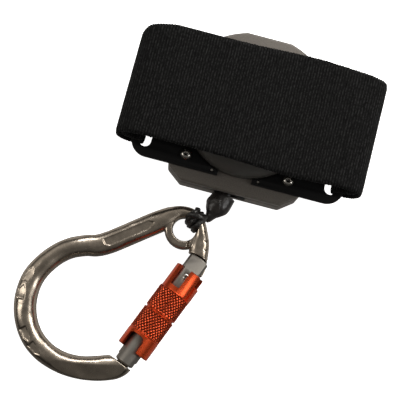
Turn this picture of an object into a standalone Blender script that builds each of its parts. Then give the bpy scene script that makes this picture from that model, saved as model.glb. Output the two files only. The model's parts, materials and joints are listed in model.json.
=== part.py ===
"""Self retracting lifeline on an elastic carrying strap, with a triple action carabiner.

The retractor lies on its flat back. +Z is the thickness, +X runs along the strap and
-Y is the side where the line comes out. The origin is the drum's axis on the back face.
Every size below is in millimetres and becomes metres when an object is made.
"""
import math

import bmesh
import bpy
from mathutils import Matrix, Vector

MM = 0.001
GAP = 0.3                      # clearance that neighbouring pieces keep
SEGMENTS = 44                  # sides of a large round piece
SMALL_SEGMENTS = 16            # sides of a pin or a screw

# ---- retractor housing ----------------------------------------------------------
HOUSING_R = 44.0               # round part of the outline
HOUSING_FLAT_Y = 42.4          # flats at the top and at the cord side
BASE_FLAT_X = 26.5             # half width of the cord side's flat
BASE_SIDE_X = 35.4             # half width of the base's straight sides
BASE_CHAMFER_Y = -36.2         # where the base's chamfer meets its side
HOUSING_SPLIT = 12.0           # joint between rear and front shells
HOUSING_FRONT = 18.0
FLOOR = 3.0                    # floor and front wall thickness
CAVITY_R = 36.5
EXIT_Z = 8.0                   # height of the cord's exit
EXIT_HALF_X = 8.3
EXIT_HALF_Z = 4.0

# ---- plate and spring cover -----------------------------------------------------
PLATE_BACK = HOUSING_FRONT + GAP
PLATE_FRONT = PLATE_BACK + 2.5
PLATE_HALF_X = 56.2
PLATE_HALF_Y = 35.9
PLATE_CORNER_R = 9.0
CUTOUT_R = 34.6
NOTCH_HALF_X = 9.0             # the cutout is open here, towards the cord exit
SLOT_X = 49.0                  # strap slots: centre, half width and half length
SLOT_R = 3.1
SLOT_HALF_Y = 30.9
PLATE_SCREW_X = 27.0
PLATE_SCREW_Y = 29.5
TIP_PIN_X = 12.2
TIP_PIN_Y = -34.0
COVER_R = 34.2
COVER_TOP = 38.4
COVER_WALL = 2.0

# ---- drum, line and power spring ------------------------------------------------
AXLE_R = 3.0
DRUM_R = 33.5
CORE_R = 17.0
FLANGE_REAR = 5.7
LINE_BOTTOM = 6.7
LINE_TOP = 13.1
ARBOR_R = 7.0
ARBOR_TOP = 32.4
WOUND_R = 30.0
LINE_R = 1.5                   # the lifeline is 3 mm cord
RATCHET_TIP_R = 31.0
RATCHET_ROOT_R = 33.2
RATCHET_TEETH = 12
RATCHET_BACK = 3.3
RATCHET_FRONT = 5.3
PAWL_PIVOT_R = 24.0
PAWL_LENGTH = 12.0
PAWL_REST_ANGLE = 74.3         # degrees from the radius through the pivot

# ---- strap ----------------------------------------------------------------------
STRAP_HALF_Y = 29.5
STRAP_THICK = 2.0
STRAP_FRONT = 40.5             # centre of the front panel's thickness

# ---- carabiner ------------------------------------------------------------------
CARABINER_Z = 9.2
ROD_R = 5.8
EYE = (-18.0, -66.0)
EYE_HOLE_R = 6.0
EYE_LUG_R = 10.2
EYE_LUG_THICK = 7.4
PIVOT = (-10.9, -89.9)         # gate hinge
GATE_ANGLE = 21.7              # gate's lean from -Y towards -X, in degrees
GATE_R = 5.5
GATE_NECK_R = 4.5
HEAD_R = 12.4                  # round end of the gate about its pivot
HEAD_HALF = 5.9                # half width of the gate's forked head
TANG_HALF_Z = 2.0
TANG_HALF_X = 3.4
GATE_SHOULDER = 37.0           # distances along the gate, from the pivot to the nose
GATE_TIP_END = 53.5
NOSE_FACE = 54.0
SLEEVE_TOP = -4.0
SLEEVE_BOTTOM = 46.0
SLEEVE_R = 8.8
SLEEVE_BORE_R = 6.2
SLEEVE_TURN = 18.0             # degrees that the sleeve's slots are turned about the gate
CROWN_R = 8.1                  # castellated top of the sleeve
CROWN_SLOT_HALF = 2.9
TAB_TOP = 1.7                  # a tab of the sleeve's full width reaches up to here
TAB_HALF_ANGLE = 17.0
BODY_TOP = 9.8
WINDOW_TOP = 37.4              # opening in the lower collar
WINDOW_HALF = 4.6

# ---- boot and hitch -------------------------------------------------------------
BOOT_START = (-1.2, -43.1)
BOOT_ANGLE = 21.5              # lean from -Y towards -X, in degrees
BOOT_LENGTH = 13.6
HITCH_ANGLE = 60.0             # place of the hitch on the eye, from +X, in degrees
HITCH_CORD_R = 1.3

COLOURS = {
    "gunmetal": ((0.060, 0.056, 0.050), 0.42, 0.6),
    "black_plate": ((0.008, 0.008, 0.010), 0.38, 0.3),
    "cover_grey": ((0.040, 0.038, 0.035), 0.45, 0.3),
    "steel": ((0.55, 0.54, 0.52), 0.28, 1.0),
    "spring_steel": ((0.30, 0.31, 0.33), 0.30, 1.0),
    "drum_grey": ((0.20, 0.20, 0.21), 0.50, 0.0),
    "bronze": ((0.45, 0.28, 0.12), 0.40, 0.9),
    "line_black": ((0.010, 0.010, 0.011), 0.85, 0.0),
    "boot_black": ((0.012, 0.011, 0.011), 0.30, 0.0),
    "webbing": ((0.009, 0.009, 0.010), 0.90, 0.0),
    "forged_grey": ((0.23, 0.22, 0.20), 0.24, 1.0),
    "gate_grey": ((0.30, 0.29, 0.28), 0.32, 1.0),
    "orange": ((0.78, 0.12, 0.02), 0.32, 0.7),
}


# ---- helpers --------------------------------------------------------------------
def start_empty_scene():
    for item in list(bpy.data.objects):
        bpy.data.objects.remove(item, do_unlink=True)


def make_collection(name):
    group = bpy.data.collections.new(name)
    bpy.context.scene.collection.children.link(group)
    return group


def make_material(name):
    colour, roughness, metallic = COLOURS[name]
    material = bpy.data.materials.new(name)
    material.use_nodes = True
    shader = material.node_tree.nodes["Principled BSDF"]
    shader.inputs["Base Color"].default_value = (*colour, 1.0)
    shader.inputs["Roughness"].default_value = roughness
    shader.inputs["Metallic"].default_value = metallic
    material.diffuse_color = (*colour, 1.0)
    return material


start_empty_scene()
PARTS = make_collection("self_retracting_lifeline")
CUTTERS = make_collection("cutters")
MATERIALS = {name: make_material(name) for name in COLOURS}


def at(x, y, z):
    return Vector((x, y, z)) * MM


def add_object(name, data, colour, matrix=None):
    """Link a new object; without a colour it's a cutter, which never renders."""
    item = bpy.data.objects.new(name, data)
    if colour is None:
        CUTTERS.objects.link(item)
        item.display_type = "WIRE"
        item.hide_render = True
    else:
        PARTS.objects.link(item)
        data.materials.append(MATERIALS[colour])
    if matrix is not None:
        item.matrix_world = matrix
    return item


def mesh_object(name, build, colour, matrix=None):
    mesh = bpy.data.meshes.new(name)
    shape = bmesh.new()
    build(shape)
    shape.to_mesh(mesh)
    shape.free()
    return add_object(name, mesh, colour, matrix)


def box(name, low, high, colour=None, matrix=None):
    low, high = Vector(low), Vector(high)
    centre, size = (low + high) / 2, high - low

    def build(shape):
        bmesh.ops.create_cube(shape, size=MM)
        bmesh.ops.scale(shape, vec=size, verts=shape.verts)
        bmesh.ops.translate(shape, vec=centre * MM, verts=shape.verts)

    return mesh_object(name, build, colour, matrix)


def cylinder(name, radius, low, high, colour=None, centre=(0.0, 0.0), matrix=None,
             segments=SMALL_SEGMENTS):
    """A cylinder along Z from low to high, standing over centre."""
    def build(shape):
        bmesh.ops.create_cone(shape, cap_ends=True, segments=segments, radius1=radius * MM,
                              radius2=radius * MM, depth=(high - low) * MM)
        middle = at(centre[0], centre[1], (low + high) / 2)
        bmesh.ops.translate(shape, vec=middle, verts=shape.verts)

    return mesh_object(name, build, colour, matrix)


def turned(name, profile, colour=None, matrix=None, steps=SEGMENTS, closed=False):
    """Turn a profile of (radius, height) points about Z; it runs down its outer side."""
    def build(shape):
        points = [shape.verts.new(at(r, 0.0, z)) for r, z in profile]
        for start, end in zip(points, points[1:]):
            shape.edges.new((start, end))
        if closed:
            shape.edges.new((points[-1], points[0]))

    item = mesh_object(name, build, colour, matrix)
    screw = item.modifiers.new("turn", "SCREW")
    screw.steps = steps
    screw.render_steps = steps
    screw.use_merge_vertices = True
    screw.merge_threshold = 1e-6
    return item


def arc(centre, radius, start, end, count):
    """Points on an arc between two angles in degrees."""
    points = []
    for step in range(count + 1):
        angle = math.radians(start + (end - start) * step / count)
        points.append((centre[0] + radius * math.cos(angle), centre[1] + radius * math.sin(angle)))
    return points


def curve_to_mesh_object(item, colour, matrix=None):
    """Replace a curve object by a welded mesh object of the same name."""
    bpy.context.view_layer.update()
    evaluated = item.evaluated_get(bpy.context.evaluated_depsgraph_get())
    mesh = bpy.data.meshes.new_from_object(evaluated)
    placed = item.matrix_world.copy() if matrix is None else matrix
    name = item.name
    bpy.data.objects.remove(item, do_unlink=True)
    shape = bmesh.new()
    shape.from_mesh(mesh)
    bmesh.ops.remove_doubles(shape, verts=shape.verts, dist=1e-6)
    bmesh.ops.recalc_face_normals(shape, faces=shape.faces)
    shape.to_mesh(mesh)
    shape.free()
    mesh.materials.clear()
    return add_object(name, mesh, colour, placed)


def slab(name, outline, low, high, colour=None, matrix=None):
    """A flat outline in XY, given thickness from low to high."""
    data = bpy.data.curves.new(name, "CURVE")
    data.dimensions = "2D"
    data.fill_mode = "BOTH"
    data.extrude = (high - low) / 2 * MM
    spline = data.splines.new("POLY")
    spline.points.add(len(outline) - 1)
    for point, (x, y) in zip(spline.points, outline):
        point.co = (x * MM, y * MM, 0.0, 1.0)
    spline.use_cyclic_u = True
    item = bpy.data.objects.new(name, data)
    PARTS.objects.link(item)
    lift = Matrix.Translation(at(0, 0, (low + high) / 2))
    return curve_to_mesh_object(item, colour, lift if matrix is None else matrix @ lift)


def tube(name, points, radius, colour, matrix=None, closed=False, sides=2):
    """A round cord or wire through points, on a POLY spline with filled caps."""
    data = bpy.data.curves.new(name, "CURVE")
    data.dimensions = "3D"
    data.bevel_depth = radius * MM
    data.bevel_resolution = sides
    data.use_fill_caps = not closed
    spline = data.splines.new("POLY")
    spline.points.add(len(points) - 1)
    for point, place in zip(spline.points, points):
        point.co = (*at(*place), 1.0)
    spline.use_cyclic_u = closed
    return add_object(name, data, colour, matrix)


def rod(name, stations, colour, matrix=None, resolution=8):
    """A bar of changing thickness through (x, y, z, radius) stations, as a mesh."""
    data = bpy.data.curves.new(name, "CURVE")
    data.dimensions = "3D"
    data.bevel_depth = MM
    data.bevel_resolution = 3
    data.resolution_u = resolution
    data.use_fill_caps = True
    spline = data.splines.new("BEZIER")
    spline.bezier_points.add(len(stations) - 1)
    for point, (x, y, z, radius) in zip(spline.bezier_points, stations):
        point.co = at(x, y, z)
        point.radius = radius
        point.handle_left_type = "AUTO"
        point.handle_right_type = "AUTO"
    item = bpy.data.objects.new(name, data)
    PARTS.objects.link(item)
    return curve_to_mesh_object(item, colour, matrix)


def boolean(target, tool, operation):
    step = target.modifiers.new(tool.name, "BOOLEAN")
    step.operation = operation
    step.object = tool
    step.solver = "EXACT"


def cut(target, *tools):
    for tool in tools:
        boolean(target, tool, "DIFFERENCE")


def join(target, *tools):
    for tool in tools:
        boolean(target, tool, "UNION")


# ---- housing --------------------------------------------------------------------
def housing_outline():
    """Round body with a flat at the top and a wide chamfered base at the cord side."""
    side_angle = math.degrees(math.acos(BASE_SIDE_X / HOUSING_R))
    flat_angle = math.degrees(math.asin(HOUSING_FLAT_Y / HOUSING_R))
    points = [(-BASE_FLAT_X, -HOUSING_FLAT_Y), (BASE_FLAT_X, -HOUSING_FLAT_Y)]
    points.append((BASE_SIDE_X - 0.8, BASE_CHAMFER_Y))
    points += arc((0, 0), HOUSING_R, -side_angle, flat_angle, 20)
    points += arc((0, 0), HOUSING_R, 180 - flat_angle, 180 + side_angle, 20)
    points.append((0.8 - BASE_SIDE_X, BASE_CHAMFER_Y))
    return points


def screw_places():
    plate = [(sx * PLATE_SCREW_X, sy * PLATE_SCREW_Y) for sy in (-1, 1) for sx in (-1, 1)]
    housing = [(-29.0, -36.6), (29.0, -36.6), (-10.0, 39.4), (10.0, 39.4)]
    return plate, housing


def build_housing():
    plate_screws, housing_screws = screw_places()
    rear = slab("rear_housing", housing_outline(), 0.0, HOUSING_SPLIT - GAP / 2, "gunmetal")
    cut(rear, cylinder("rear_cavity", CAVITY_R, FLOOR, HOUSING_SPLIT + 2, segments=SEGMENTS))
    exit_low = (-EXIT_HALF_X, -HOUSING_FLAT_Y - 2, EXIT_Z - EXIT_HALF_Z)
    cut(rear, box("exit_notch", exit_low, (EXIT_HALF_X, -30.0, HOUSING_SPLIT + 2)))
    for number, place in enumerate(axle_screw_places(), 1):
        cut(rear, cylinder(f"foot_thread_{number}", 1.05, 0.8, FLOOR + 1, centre=place,
                           segments=12))
    front = slab("front_housing", housing_outline(), HOUSING_SPLIT + GAP / 2, HOUSING_FRONT,
                 "gunmetal")
    cut(front, cylinder("front_cavity", CAVITY_R, HOUSING_SPLIT - 2, HOUSING_FRONT - FLOOR,
                        segments=SEGMENTS))
    cut(front, cylinder("hub_hole", 11.0, HOUSING_SPLIT, HOUSING_FRONT + 2, segments=48))
    for number, place in enumerate(plate_screws, 1):
        cut(rear, cylinder(f"plate_thread_{number}", 1.8, 3.6, HOUSING_SPLIT + 2, centre=place))
        cut(front, cylinder(f"plate_bore_{number}", 1.8, HOUSING_SPLIT - 2, 20, centre=place))
    for number, place in enumerate(housing_screws, 1):
        cut(rear, cylinder(f"rear_bore_{number}", 1.5, -1.0, HOUSING_SPLIT + 2, centre=place,
                           segments=16))
        cut(rear, cylinder(f"rear_seat_{number}", 2.8, -1.0, 2.2, centre=place))
        cut(front, cylinder(f"front_thread_{number}", 1.5, HOUSING_SPLIT - 2, 16.4,
                            centre=place, segments=16))
        socket_head_screw(f"housing_screw_{number}", place)


def socket_head_screw(name, place):
    """Countersunk into the back: head r 2.5, shank r 1.2, hexagon socket."""
    profile = [(0.0, 16.1), (1.2, 16.1), (1.2, 1.9), (2.5, 1.9), (2.5, 0.2), (1.3, 0.2),
               (1.3, 1.2), (0.0, 1.2)]
    turned(name, profile, "steel", Matrix.Translation(at(place[0], place[1], 0)), steps=16)


def button_screw(name, place):
    """Button head on the plate with a six sided socket, shank down to the rear shell."""
    base = PLATE_FRONT + 0.25
    profile = [(0.0, base + 0.9), (1.1, base + 0.9), (1.1, base + 1.9), (1.7, base + 1.8),
               (2.4, base + 1.3), (2.8, base + 0.5), (2.8, base), (1.5, base), (1.5, 3.9),
               (0.0, 3.9)]
    turned(name, profile, "steel", Matrix.Translation(at(place[0], place[1], 0)), steps=16)


def build_exit_guide():
    """Flared nozzle that carries the line through the housing's wall."""
    inner_y = -36.9
    low = (GAP - EXIT_HALF_X, -HOUSING_FLAT_Y, EXIT_Z - EXIT_HALF_Z + GAP)
    high = (EXIT_HALF_X - GAP, inner_y, HOUSING_SPLIT - 0.3)
    guide = box("exit_guide", low, high, "black_plate")
    along_y = Matrix.Translation(at(-1.2, 0, EXIT_Z)) @ Matrix.Rotation(math.pi / 2, 4, "X")
    oval = Matrix.Diagonal((1.9, 1.0, 1.0, 1.0))
    profile = [(0.0, 43.0), (3.0, 43.0), (2.5, 42.0), (2.0, 40.6), (2.0, 39.8), (2.4, 38.4),
               (3.2, 36.5), (0.0, 36.5)]
    flare = turned("exit_flare", profile, None, along_y @ oval, steps=28)
    cut(guide, flare)


# ---- plate, cover, screws ---------------------------------------------------------
def rounded_rectangle(half_x, half_y, radius, count=6):
    points = []
    for quarter, (sx, sy) in enumerate([(1, 1), (-1, 1), (-1, -1), (1, -1)]):
        centre = (sx * (half_x - radius), sy * (half_y - radius))
        points += arc(centre, radius, 90 * quarter, 90 * quarter + 90, count)
    return points


def slot_outline(x):
    end = SLOT_HALF_Y - SLOT_R
    return arc((x, end), SLOT_R, 0, 180, 10) + arc((x, -end), SLOT_R, 180, 360, 10)


def build_plate():
    plate = slab("mounting_plate", rounded_rectangle(PLATE_HALF_X, PLATE_HALF_Y, PLATE_CORNER_R),
                 PLATE_BACK, PLATE_FRONT, "black_plate")
    low, high = PLATE_BACK - 1, PLATE_FRONT + 1
    cut(plate, cylinder("plate_cutout", CUTOUT_R, low, high, segments=60))
    cut(plate, box("plate_notch", (-NOTCH_HALF_X, -PLATE_HALF_Y - 2, low),
                   (NOTCH_HALF_X, -20.0, high)))
    for name, x in (("left", -SLOT_X), ("right", SLOT_X)):
        cut(plate, slab(f"strap_slot_{name}", slot_outline(x), low, high))
    plate_screws, _ = screw_places()
    for number, place in enumerate(plate_screws, 1):
        cut(plate, cylinder(f"plate_hole_{number}", 1.8, low, high, centre=place))
        button_screw(f"plate_screw_{number}", place)
    for number, side in enumerate((-1, 1), 1):
        place = (side * TIP_PIN_X, TIP_PIN_Y)
        cut(plate, cylinder(f"tip_hole_{number}", 0.95, low, high, centre=place, segments=16))
        cylinder(f"tip_pin_{number}", 0.65, HOUSING_FRONT + 0.2, PLATE_FRONT + 0.15, "steel",
                 centre=place, segments=16)


def cover_profile():
    """Outside of the spring cover, from its crown down to its rim."""
    round_start, round_r, round_h = 20.5, COVER_R - 20.5, 13.0
    crown = [(0.0, COVER_TOP), (10.0, COVER_TOP - 0.25)]
    bend = []
    for step in range(7):
        angle = math.radians(90 - 90 * step / 6)
        bend.append((round_start + round_r * math.cos(angle),
                     COVER_TOP - 1.0 - round_h + round_h * math.sin(angle)))
    return crown + bend + [(COVER_R, PLATE_BACK)]


def build_cover():
    cover = turned("spring_cover", cover_profile(), "cover_grey", steps=SEGMENTS)
    shell = cover.modifiers.new("wall", "SOLIDIFY")
    shell.thickness = COVER_WALL * MM
    shell.offset = -1.0
    shell.use_even_offset = True


# ---- inside -----------------------------------------------------------------------
def build_drum():
    drum = [(4.4, ARBOR_TOP), (ARBOR_R, ARBOR_TOP), (ARBOR_R, 19.5), (9.4, 19.5), (9.4, 9.0),
            (13.8, 9.0), (13.8, LINE_TOP), (CORE_R, LINE_TOP), (CORE_R, LINE_BOTTOM),
            (DRUM_R, LINE_BOTTOM), (DRUM_R, FLANGE_REAR), (4.4, FLANGE_REAR)]
    body = turned("drum", drum, "drum_grey", steps=SEGMENTS, closed=True)
    flange = [(9.8, 14.3), (DRUM_R, 14.3), (DRUM_R, LINE_TOP + GAP), (9.8, LINE_TOP + GAP)]
    front = turned("drum_flange", flange, "drum_grey", steps=SEGMENTS, closed=True)
    for number, angle in enumerate((30, 150, 270), 1):
        place = arc((0, 0), 15.4, angle, angle, 1)[0]
        cut(body, cylinder(f"flange_thread_{number}", 0.95, 9.4, LINE_TOP + 1, centre=place,
                           segments=12))
        cut(front, cylinder(f"flange_hole_{number}", 0.95, 12.0, 16.0, centre=place, segments=12))
        profile = [(0.0, 14.9), (1.3, 14.9), (1.3, 14.55), (0.65, 14.55), (0.65, 9.8),
                   (0.0, 9.8)]
        turned(f"flange_screw_{number}", profile, "steel",
               Matrix.Translation(at(place[0], place[1], 0)), steps=12)
    for number in (1, 2):
        centre = pawl_pivot(number)
        cut(body, cylinder(f"pawl_pin_hole_{number}", 1.5, 5.0, LINE_BOTTOM + 1, centre=centre,
                           segments=16))


def axle_screw_places():
    return [arc((0, 0), 6.6, angle, angle, 1)[0] for angle in (90, 210, 330)]


def build_axle():
    foot_top = 4.5
    profile = [(0.0, 34.4), (AXLE_R, 34.4), (AXLE_R, foot_top), (9.0, foot_top),
               (9.0, FLOOR + 0.25), (0.0, FLOOR + 0.25)]
    axle = turned("axle", profile, "steel", steps=32)
    screw = [(0.0, 5.4), (1.5, 5.4), (1.5, foot_top + 0.2), (0.8, foot_top + 0.2), (0.8, 1.0),
             (0.0, 1.0)]
    for number, place in enumerate(axle_screw_places(), 1):
        cut(axle, cylinder(f"foot_hole_{number}", 1.05, 2.0, 6.0, centre=place, segments=12))
        turned(f"axle_screw_{number}", screw, "steel",
               Matrix.Translation(at(place[0], place[1], 0)), steps=12)
    for name, low, high in (("rear_bush", 5.8, 9.8), ("front_bush", 26.4, 32.2)):
        ring = [(3.25, high), (4.15, high), (4.15, low), (3.25, low)]
        turned(name, ring, "bronze", steps=32, closed=True)
    nut = slab("axle_nut", arc((0, 0), 4.9, 0, 300, 5), 32.7, 34.2, "steel")
    cut(nut, cylinder("nut_bore", AXLE_R + 0.25, 30, 36))


def build_wound_line():
    """The line as it lies on the drum: full turns side by side, layer on layer."""
    outer = []
    rows = 2
    height = (LINE_TOP - LINE_BOTTOM - 0.5) / rows
    for row in range(rows):
        middle = LINE_TOP - 0.25 - height * (row + 0.5)
        for angle in (75, 25, -25, -75):
            a = math.radians(angle)
            outer.append((WOUND_R - LINE_R + LINE_R * math.cos(a), middle + LINE_R * math.sin(a)))
    inner_r = CORE_R + GAP
    profile = [(inner_r, LINE_TOP - 0.25)] + outer + [(inner_r, LINE_BOTTOM + 0.25)]
    turned("wound_lifeline", profile, "line_black", steps=SEGMENTS, closed=True)


def pawl_pivot(number):
    side = 1 if number == 1 else -1
    return (side * PAWL_PIVOT_R, 0.0)


def pawl_outline():
    """A hub about the pivot and an arm that ends in a hooked nose."""
    reach = math.radians(PAWL_REST_ANGLE)
    along = Vector((math.cos(reach), math.sin(reach)))
    across = Vector((along.y, -along.x))
    hub = arc((0, 0), 3.0, PAWL_REST_ANGLE + 62, PAWL_REST_ANGLE + 298, 12)
    corners = [(5.5, 1.5), (9.5, 1.6), (PAWL_LENGTH, 1.3), (PAWL_LENGTH + 0.2, -0.4), (6.0, -1.5)]
    arm = [along * reach_out + across * aside for reach_out, aside in corners]
    return hub + [(p.x, p.y) for p in arm]


def build_ratchet():
    teeth = []
    pitch = 360 / RATCHET_TEETH
    for tooth in range(RATCHET_TEETH):
        start = tooth * pitch
        teeth += arc((0, 0), RATCHET_TIP_R, start, start + 6, 2)
        teeth += arc((0, 0), RATCHET_ROOT_R, start + 8, start + pitch - 0.5, 4)
    ring = slab("ratchet_ring", arc((0, 0), CAVITY_R - GAP, 0, 352.5, 47), RATCHET_BACK,
                RATCHET_FRONT, "steel")
    cut(ring, slab("ratchet_teeth", teeth, RATCHET_BACK - 1, RATCHET_FRONT + 1))
    for number in (1, 2):
        turn = Matrix.Rotation(math.pi * (number - 1), 4, "Z")
        place = Matrix.Translation(turn @ at(PAWL_PIVOT_R, 0, 0)) @ turn
        pawl = slab(f"pawl_{number}", pawl_outline(), RATCHET_BACK + 0.1, RATCHET_FRONT, "steel",
                    place)
        cut(pawl, cylinder(f"pawl_bore_{number}", 1.5, 2, 7, matrix=place, segments=16))
        pin = [(0.0, 6.5), (1.2, 6.5), (1.2, 3.3), (0.0, 3.3)]
        turned(f"pawl_pin_{number}", pin, "steel", place, steps=16)
        coil = helix(0.75, 5.0, 5, 7)
        lay = turn @ Matrix.Translation(at(19.4, 1.5, 4.4)) @ Matrix.Rotation(-math.pi / 2, 4, "X")
        tube(f"pawl_spring_{number}", coil, 0.2, "spring_steel", lay, sides=1)


def helix(radius, length, turns, per_turn=10):
    """Points of a coil along +Z."""
    points = []
    for step in range(turns * per_turn + 1):
        angle = math.tau * step / per_turn
        points.append((radius * math.cos(angle), radius * math.sin(angle),
                       length * step / (turns * per_turn)))
    return points


def build_power_spring():
    """A flat strip wound from the arbor out to its anchor in the cover."""
    turns, per_turn = 7, 22
    inner, outer = ARBOR_R + 0.8, 28.0
    low, high = 21.0, 30.0

    def build(shape):
        previous = None
        for step in range(turns * per_turn + 1):
            angle = math.tau * step / per_turn
            radius = inner + (outer - inner) * step / (turns * per_turn)
            x, y = radius * math.cos(angle), radius * math.sin(angle)
            pair = (shape.verts.new(at(x, y, low)), shape.verts.new(at(x, y, high)))
            if previous:
                shape.faces.new((previous[0], pair[0], pair[1], previous[1]))
            previous = pair

    spring = mesh_object("power_spring", build, "spring_steel")
    strip = spring.modifiers.new("strip", "SOLIDIFY")
    strip.thickness = 0.5 * MM
    strip.offset = 0.0
    cylinder("spring_anchor", 1.2, HOUSING_FRONT + 0.2, 27.0, "steel", centre=(29.8, 2.2),
             segments=16)


def boot_axis():
    lean = math.radians(BOOT_ANGLE)
    return Vector((-math.sin(lean), -math.cos(lean), 0.0))


def build_lead():
    """The line between the drum's last turn and the boot, through the exit guide."""
    direction = boot_axis()
    start = Vector((BOOT_START[0], BOOT_START[1], EXIT_Z))
    route = [Vector((-20.2, -24.4, 10.0)), Vector((-14.0, -28.9, 9.4)), Vector((-7.5, -33.6, 8.5)),
             Vector((-3.2, -36.8, 8.1)), Vector((-1.4, -39.4, EXIT_Z)),
             Vector((-1.1, -41.4, EXIT_Z)), start + direction * 0.6]
    points = smooth_route(route, 4)
    tube("lifeline_lead", points, LINE_R, "line_black", sides=3)


def smooth_route(route, per_span):
    """Catmull-Rom points through a route's own points."""
    ends = [route[0] * 2 - route[1]] + route + [route[-1] * 2 - route[-2]]
    points = []
    for a, b, c, d in zip(ends, ends[1:], ends[2:], ends[3:]):
        for step in range(per_span):
            t = step / per_span
            points.append(0.5 * ((2 * b) + (c - a) * t + (2 * a - 5 * b + 4 * c - d) * t ** 2
                                 + (3 * b - a - 3 * c + d) * t ** 3))
    points.append(route[-1])
    return [tuple(p) for p in points]


# ---- boot and hitch ---------------------------------------------------------------
def frame_along(origin, direction):
    """Matrix whose Z runs along direction and whose Y is the world's Z."""
    z_axis = direction.normalized()
    y_axis = Vector((0, 0, 1))
    x_axis = y_axis.cross(z_axis)
    turn = Matrix((x_axis, y_axis, z_axis)).transposed().to_4x4()
    return Matrix.Translation(at(*origin)) @ turn


def build_boot():
    """Teardrop sleeve over the line's crimped end; its wide end sits on the exit."""
    place = frame_along((BOOT_START[0], BOOT_START[1], EXIT_Z), boot_axis())
    bore = 2.6
    outer = [(1.9, BOOT_LENGTH), (2.3, BOOT_LENGTH - 0.6), (3.1, BOOT_LENGTH - 2.6),
             (4.5, BOOT_LENGTH - 5.2), (5.6, BOOT_LENGTH - 8.2), (5.6, 3.0), (5.2, -3.0)]
    profile = [(1.3, BOOT_LENGTH)] + outer + [(bore, -3.0), (bore, BOOT_LENGTH - 2.6),
                                            (1.3, BOOT_LENGTH - 1.2)]
    boot = turned("line_boot", profile, "boot_black", place, steps=32, closed=True)
    wall = -HOUSING_FLAT_Y - GAP
    cut(boot, box("boot_trim", (-20, wall, -10), (20, wall + 20, 30)))
    ferrule = [(1.0, BOOT_LENGTH - 3.2), (2.2, BOOT_LENGTH - 3.2), (2.2, 3.2), (1.0, 3.2)]
    turned("line_ferrule", ferrule, "steel", place, steps=20, closed=True)


def build_hitch():
    """Girth hitch: two turns of line round the eye's bar and the bight across them."""
    angle = math.radians(HITCH_ANGLE)
    out = Vector((math.cos(angle), math.sin(angle), 0.0))
    side = Vector((-out.y, out.x, 0.0))
    up = Vector((0, 0, 1))
    centre = Vector((EYE[0], EYE[1], CARABINER_Z)) + out * 7.9
    for number, offset in enumerate((-1.5, 1.5), 1):
        loop = []
        for step in range(28):
            turn = math.tau * step / 28
            reach = 5.3 * math.copysign(abs(math.cos(turn)) ** 0.8, math.cos(turn))
            rise = 6.2 * math.copysign(abs(math.sin(turn)) ** 0.8, math.sin(turn))
            loop.append(tuple(centre + side * offset + out * reach + up * rise))
        tube(f"hitch_turn_{number}", loop, HITCH_CORD_R, "line_black", closed=True)
    bight = []
    for step in range(13):
        turn = math.radians(-75 + 150 * step / 12)
        place = centre + out * 1.6 + side * (5.0 * math.sin(turn))
        bight.append(tuple(place + up * (6.0 + 3.6 * math.cos(turn))))
    tube("hitch_bight", bight, HITCH_CORD_R, "line_black")


# ---- carabiner --------------------------------------------------------------------
def gate_frame():
    lean = math.radians(GATE_ANGLE)
    direction = Vector((-math.sin(lean), -math.cos(lean), 0.0))
    return frame_along((PIVOT[0], PIVOT[1], CARABINER_Z), direction)


def carabiner_stations():
    """Centre line of the pear shaped bar from the gate hinge round to the nose."""
    z = CARABINER_Z
    narrow = [(-7.2, -79.5, z, 5.1), (-8.4, -72.5, z, 5.1), (-10.6, -65.0, z, 4.7),
              (-14.6, -59.6, z, 4.5), (-20.5, -58.7, z, 4.6)]
    spine = [(-28.2, -62.8, z, 5.5), (-37.0, -69.4, z, ROD_R), (-46.0, -76.3, z, ROD_R),
             (-55.0, -82.3, z, ROD_R)]
    bow_centre, bow_r = (-57.4, -117.3), 30.0
    bow = [(x, y, z, ROD_R) for x, y in arc(bow_centre, bow_r, 112, 270, 8)]
    nose = [(-46.5, -146.6, z, ROD_R), (-38.0, -144.8, z, ROD_R), (-32.6, -141.6, z, ROD_R),
            (-30.6, -137.2, z, ROD_R)]
    return narrow + spine + bow + nose


def build_carabiner_frame():
    place = gate_frame()
    bar = rod("carabiner_frame", carabiner_stations(), "forged_grey", resolution=4)
    half = EYE_LUG_THICK / 2
    join(bar, cylinder("eye_lug", EYE_LUG_R, CARABINER_Z - half, CARABINER_Z + half, centre=EYE,
                       segments=48))
    cut(bar, cylinder("eye_hole", EYE_HOLE_R, -5, 25, centre=EYE, segments=48))
    head = cylinder("hinge_clearance", HEAD_R + 0.5, -5, 25, centre=PIVOT, segments=72)
    cut(bar, head)
    cut(bar, box("nose_trim", (-9, -9, 30), (9, 9, NOSE_FACE), matrix=place))
    join(bar, box("hinge_tang", (-TANG_HALF_X, -TANG_HALF_Z, -14.5),
                  (TANG_HALF_X, TANG_HALF_Z, 0.0), matrix=place))
    rail = [(2.0, 15.2), (4.0, 12.6), (5.5, 9.8), (6.1, 7.0), (6.1, 4.7), (0.0, 4.7), (0.0, 15.2)]
    join(bar, slab("hinge_rail", rail, -TANG_HALF_Z, TANG_HALF_Z,
                   matrix=place @ Matrix.Rotation(-math.pi / 2, 4, "X")))
    upright = place @ Matrix.Rotation(-math.pi / 2, 4, "X")
    join(bar, cylinder("tang_end", TANG_HALF_X, -TANG_HALF_Z, TANG_HALF_Z, matrix=upright,
                       segments=32))
    cut(bar, cylinder("tang_bore", 1.8, -5, 5, matrix=upright, segments=20))
    join(bar, box("nose_tongue", (-3.4, -TANG_HALF_Z, 50.6), (3.0, TANG_HALF_Z, 56.0),
                  matrix=place))


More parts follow.
